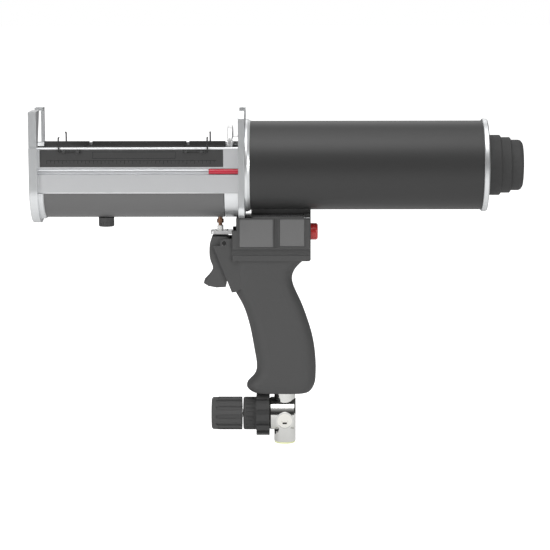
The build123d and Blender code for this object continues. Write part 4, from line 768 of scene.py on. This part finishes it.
@dataclass
class InletThread:
    """The inlet's inside thread, cut as a fine helix."""

    turns: int = 8
    pitch: float = 1.337 * MM
    depth: float = 0.55 * MM
    flank: float = 0.42
    steps_a_turn: int = 32

    def build(self) -> bpy.types.Object:
        """Wind a triangular ridge inside the inlet.

        Returns:
            The ridge.
        """
        mount = next(m for m in FRAME["record"]["mounts"] if m["name"] == "air_inlet")
        x, y, z = mount["pos_m"]
        radius = mount["dims"]["r_mm"] * MM
        clear_selection()
        half = self.pitch * self.flank
        bpy.ops.mesh.primitive_circle_add(vertices=3, radius=half, fill_type="NGON",
                                          location=(x - radius, y, z + half),
                                          rotation=(math.pi / 2, 0, math.pi))
        ridge = bpy.context.active_object
        ridge.scale = (1.0, self.depth / half, 1.0)
        bpy.ops.object.transform_apply(location=True, rotation=True, scale=True)
        pivot = bpy.data.objects.new("thread_axis", None)
        bpy.context.collection.objects.link(pivot)
        pivot.location = (x, y, z)
        screw = ridge.modifiers.new("wind", "SCREW")
        screw.object = pivot
        screw.axis = "Z"
        screw.angle = 2 * math.pi * self.turns
        screw.screw_offset = self.pitch * self.turns
        screw.steps = self.steps_a_turn * self.turns
        screw.render_steps = screw.steps
        bpy.context.view_layer.update()
        bpy.ops.object.modifier_apply(modifier=screw.name)
        bpy.data.objects.remove(pivot)
        bpy.ops.object.mode_set(mode="EDIT")
        bpy.ops.mesh.select_all(action="SELECT")
        bpy.ops.mesh.normals_make_consistent(inside=False)
        bpy.ops.object.mode_set(mode="OBJECT")
        return settle(ridge, "inlet_thread", NICKEL, "gun")


def _turn_about_x(turn: float, axis_z: float, x: float, radius: float) -> Matrix:
    """A matrix that carries a piece built at the origin to its place round an axis along X.

    Args:
        turn: Angle about the axis.
        axis_z: Height of the axis.
        x: Place along the axis.
        radius: Distance from the axis.

    Returns:
        The matrix.
    """
    to_axis = Matrix.Translation((x, 0.0, axis_z))
    return to_axis @ Matrix.Rotation(turn, 4, "X") @ Matrix.Translation((0, 0, radius))


# ---------------------------------------------------------------- studio


@dataclass(frozen=True)
class SoftBox:
    """One square area light: its name, place, target, side in metres and power in watts."""

    name: str
    place: Point
    target: Point
    size: float
    power: float


MIDDLE: Point = (0.25, 0.0, -0.05)
UPPER: Point = (0.25, 0.0, 0.0)
SOFT_BOXES = (
    SoftBox("key", (0.1, -1.2, 2.0), MIDDLE, 1.2, 16.0),
    SoftBox("left", (-1.5, -1.6, 0.35), MIDDLE, 0.7, 24.0),
    SoftBox("right", (2.0, -1.6, 0.35), MIDDLE, 0.7, 20.0),
    SoftBox("top", (0.25, -0.1, 1.3), UPPER, 1.0, 5.0),
    SoftBox("back", (0.2, 1.6, 1.0), UPPER, 1.2, 5.0),
)


@dataclass
class Studio:
    """Pale floor, soft lights and the camera."""

    lens: float = 133.5
    sensor: float = 36.0
    eye: Point = (0.2656, -2.0635, 0.2139)
    pitch: float = 9.0
    yaw: float = 0.76
    roll: float = 0.15
    floor_gap: float = 4.0 * MM
    wall_top: tuple[float, float] = (0.3, 0.8)
    wall_light: float = 0.05
    floor_shade: float = 0.5
    glow: float = 0.8
    glow_centre: Point = (0.22, -0.45, -0.29)
    glow_reach: float = 1.1
    ceiling_light: float = 0.6
    floor_middle: float = 0.2
    floor_size: float = 24.0
    see_to: float = 50.0

    def build_camera(self) -> None:
        """Place the camera a little above the gun, level with its cradle's middle."""
        data = bpy.data.cameras.new("camera")
        data.lens = self.lens
        data.sensor_width = self.sensor
        data.clip_end = self.see_to
        camera = bpy.data.objects.new("camera", data)
        bpy.context.collection.objects.link(camera)
        camera.location = self.eye
        camera.rotation_mode = "XYZ"
        turns = (90 - self.pitch, self.roll, self.yaw)
        camera.rotation_euler = tuple(math.radians(turn) for turn in turns)
        bpy.context.scene.camera = camera

    def build_lights(self) -> None:
        """Hang the soft boxes and set the room's even light."""
        for box in SOFT_BOXES:
            self._soft_box(box)
        self._build_room()

    def _build_room(self) -> None:
        """Surround the gun with a room of dark walls and a light ceiling, seen as plain white."""
        world = bpy.data.worlds.new("room")
        world.use_nodes = True
        nodes, links = world.node_tree.nodes, world.node_tree.links
        background = nodes["Background"]
        place = nodes.new("ShaderNodeTexCoord")
        parts = nodes.new("ShaderNodeSeparateXYZ")
        links.new(place.outputs["Generated"], parts.inputs["Vector"])
        height = nodes.new("ShaderNodeMapRange")
        height.interpolation_type = "SMOOTHSTEP"
        height.inputs["From Min"].default_value = self.wall_top[0]
        height.inputs["From Max"].default_value = self.wall_top[1]
        height.inputs["To Min"].default_value = self.wall_light
        height.inputs["To Max"].default_value = self.ceiling_light
        links.new(parts.outputs["Z"], height.inputs["Value"])
        seen = nodes.new("ShaderNodeLightPath")
        strength = nodes.new("ShaderNodeMix")
        strength.data_type = "FLOAT"
        strength.inputs["B"].default_value = 1.0
        links.new(seen.outputs["Is Camera Ray"], strength.inputs["Factor"])
        links.new(height.outputs["Result"], strength.inputs["A"])
        links.new(strength.outputs["Result"], background.inputs["Strength"])
        background.inputs["Color"].default_value = (1.0, 1.0, 1.0, 1.0)
        bpy.context.scene.world = world
        bpy.context.scene.view_settings.view_transform = "Standard"

    def build_floor(self) -> None:
        """Lay a wide flat pale floor under the gun, reaching far behind it."""
        low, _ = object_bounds()
        clear_selection()
        place = (self.floor_middle, 0.0, low[2] - self.floor_gap)
        bpy.ops.mesh.primitive_plane_add(size=self.floor_size, location=place)
        floor = bpy.context.active_object
        floor.name = "floor"
        bpy.ops.object.transform_apply(location=True, rotation=True, scale=True)
        material = bpy.data.materials.new("floor")
        material.use_nodes = True
        shader = material.node_tree.nodes["Principled BSDF"]
        shader.inputs["Base Color"].default_value = (*(self.floor_shade,) * 3, 1.0)
        shader.inputs["Roughness"].default_value = 0.9
        shader.inputs["Emission Color"].default_value = (1.0, 1.0, 1.0, 1.0)
        nodes, links = material.node_tree.nodes, material.node_tree.links
        spot, around = nodes.new("ShaderNodeTexCoord"), nodes.new("ShaderNodeMapping")
        around.vector_type = "TEXTURE"
        around.inputs["Location"].default_value = self.glow_centre
        around.inputs["Scale"].default_value = (self.glow_reach,) * 3
        links.new(spot.outputs["Object"], around.inputs["Vector"])
        falloff = nodes.new("ShaderNodeTexGradient")
        falloff.gradient_type = "SPHERICAL"
        links.new(around.outputs["Vector"], falloff.inputs["Vector"])
        glow = nodes.new("ShaderNodeMapRange")
        glow.inputs["To Max"].default_value = self.glow
        links.new(falloff.outputs["Fac"], glow.inputs["Value"])
        seen, strength = nodes.new("ShaderNodeLightPath"), nodes.new("ShaderNodeMix")
        strength.data_type = "FLOAT"
        strength.inputs["B"].default_value = 1.0
        links.new(seen.outputs["Is Camera Ray"], strength.inputs["Factor"])
        links.new(glow.outputs["Result"], strength.inputs["A"])
        links.new(strength.outputs["Result"], shader.inputs["Emission Strength"])
        floor.data.materials.append(material)
        floor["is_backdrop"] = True

    def _soft_box(self, box: SoftBox) -> None:
        """Hang one area light.

        Args:
            box: What it is and where it hangs.
        """
        data = bpy.data.lights.new(box.name, "AREA")
        data.shape = "SQUARE"
        data.size = box.size
        data.energy = box.power
        light = bpy.data.objects.new(box.name, data)
        bpy.context.collection.objects.link(light)
        light.location = box.place
        away = [box.place[i] - box.target[i] for i in range(3)]
        level = math.hypot(away[0], away[1])
        light.rotation_euler = (math.atan2(level, away[2]), 0.0, math.atan2(away[1], away[0]) + math.pi / 2)


def main() -> None:
    """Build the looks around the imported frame, in order."""
    logging.basicConfig(level=logging.INFO, format="%(name)s: %(message)s")
    FRAME.update(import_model())
    studio = Studio()
    studio.build_camera()
    dress_nodes(FRAME)
    for side in Side:
        ScaleMarks().build(side)
    for spring in (CoilSpring("valve_spring", 5, 0.8 * MM), CoilSpring("button_spring", 5, 0.8 * MM),
                   CoilSpring("regulator_spring", 4, 2.0 * MM)):
        spring.build()
    KnobPads().build()
    trim = HeadTrim()
    for side in Side:
        trim.build_rims(side)
    trim.build_ribs()
    trim.build_edge()
    InletThread().build()
    studio.build_lights()
    studio.build_floor()


if __name__ == "__main__":
    main()
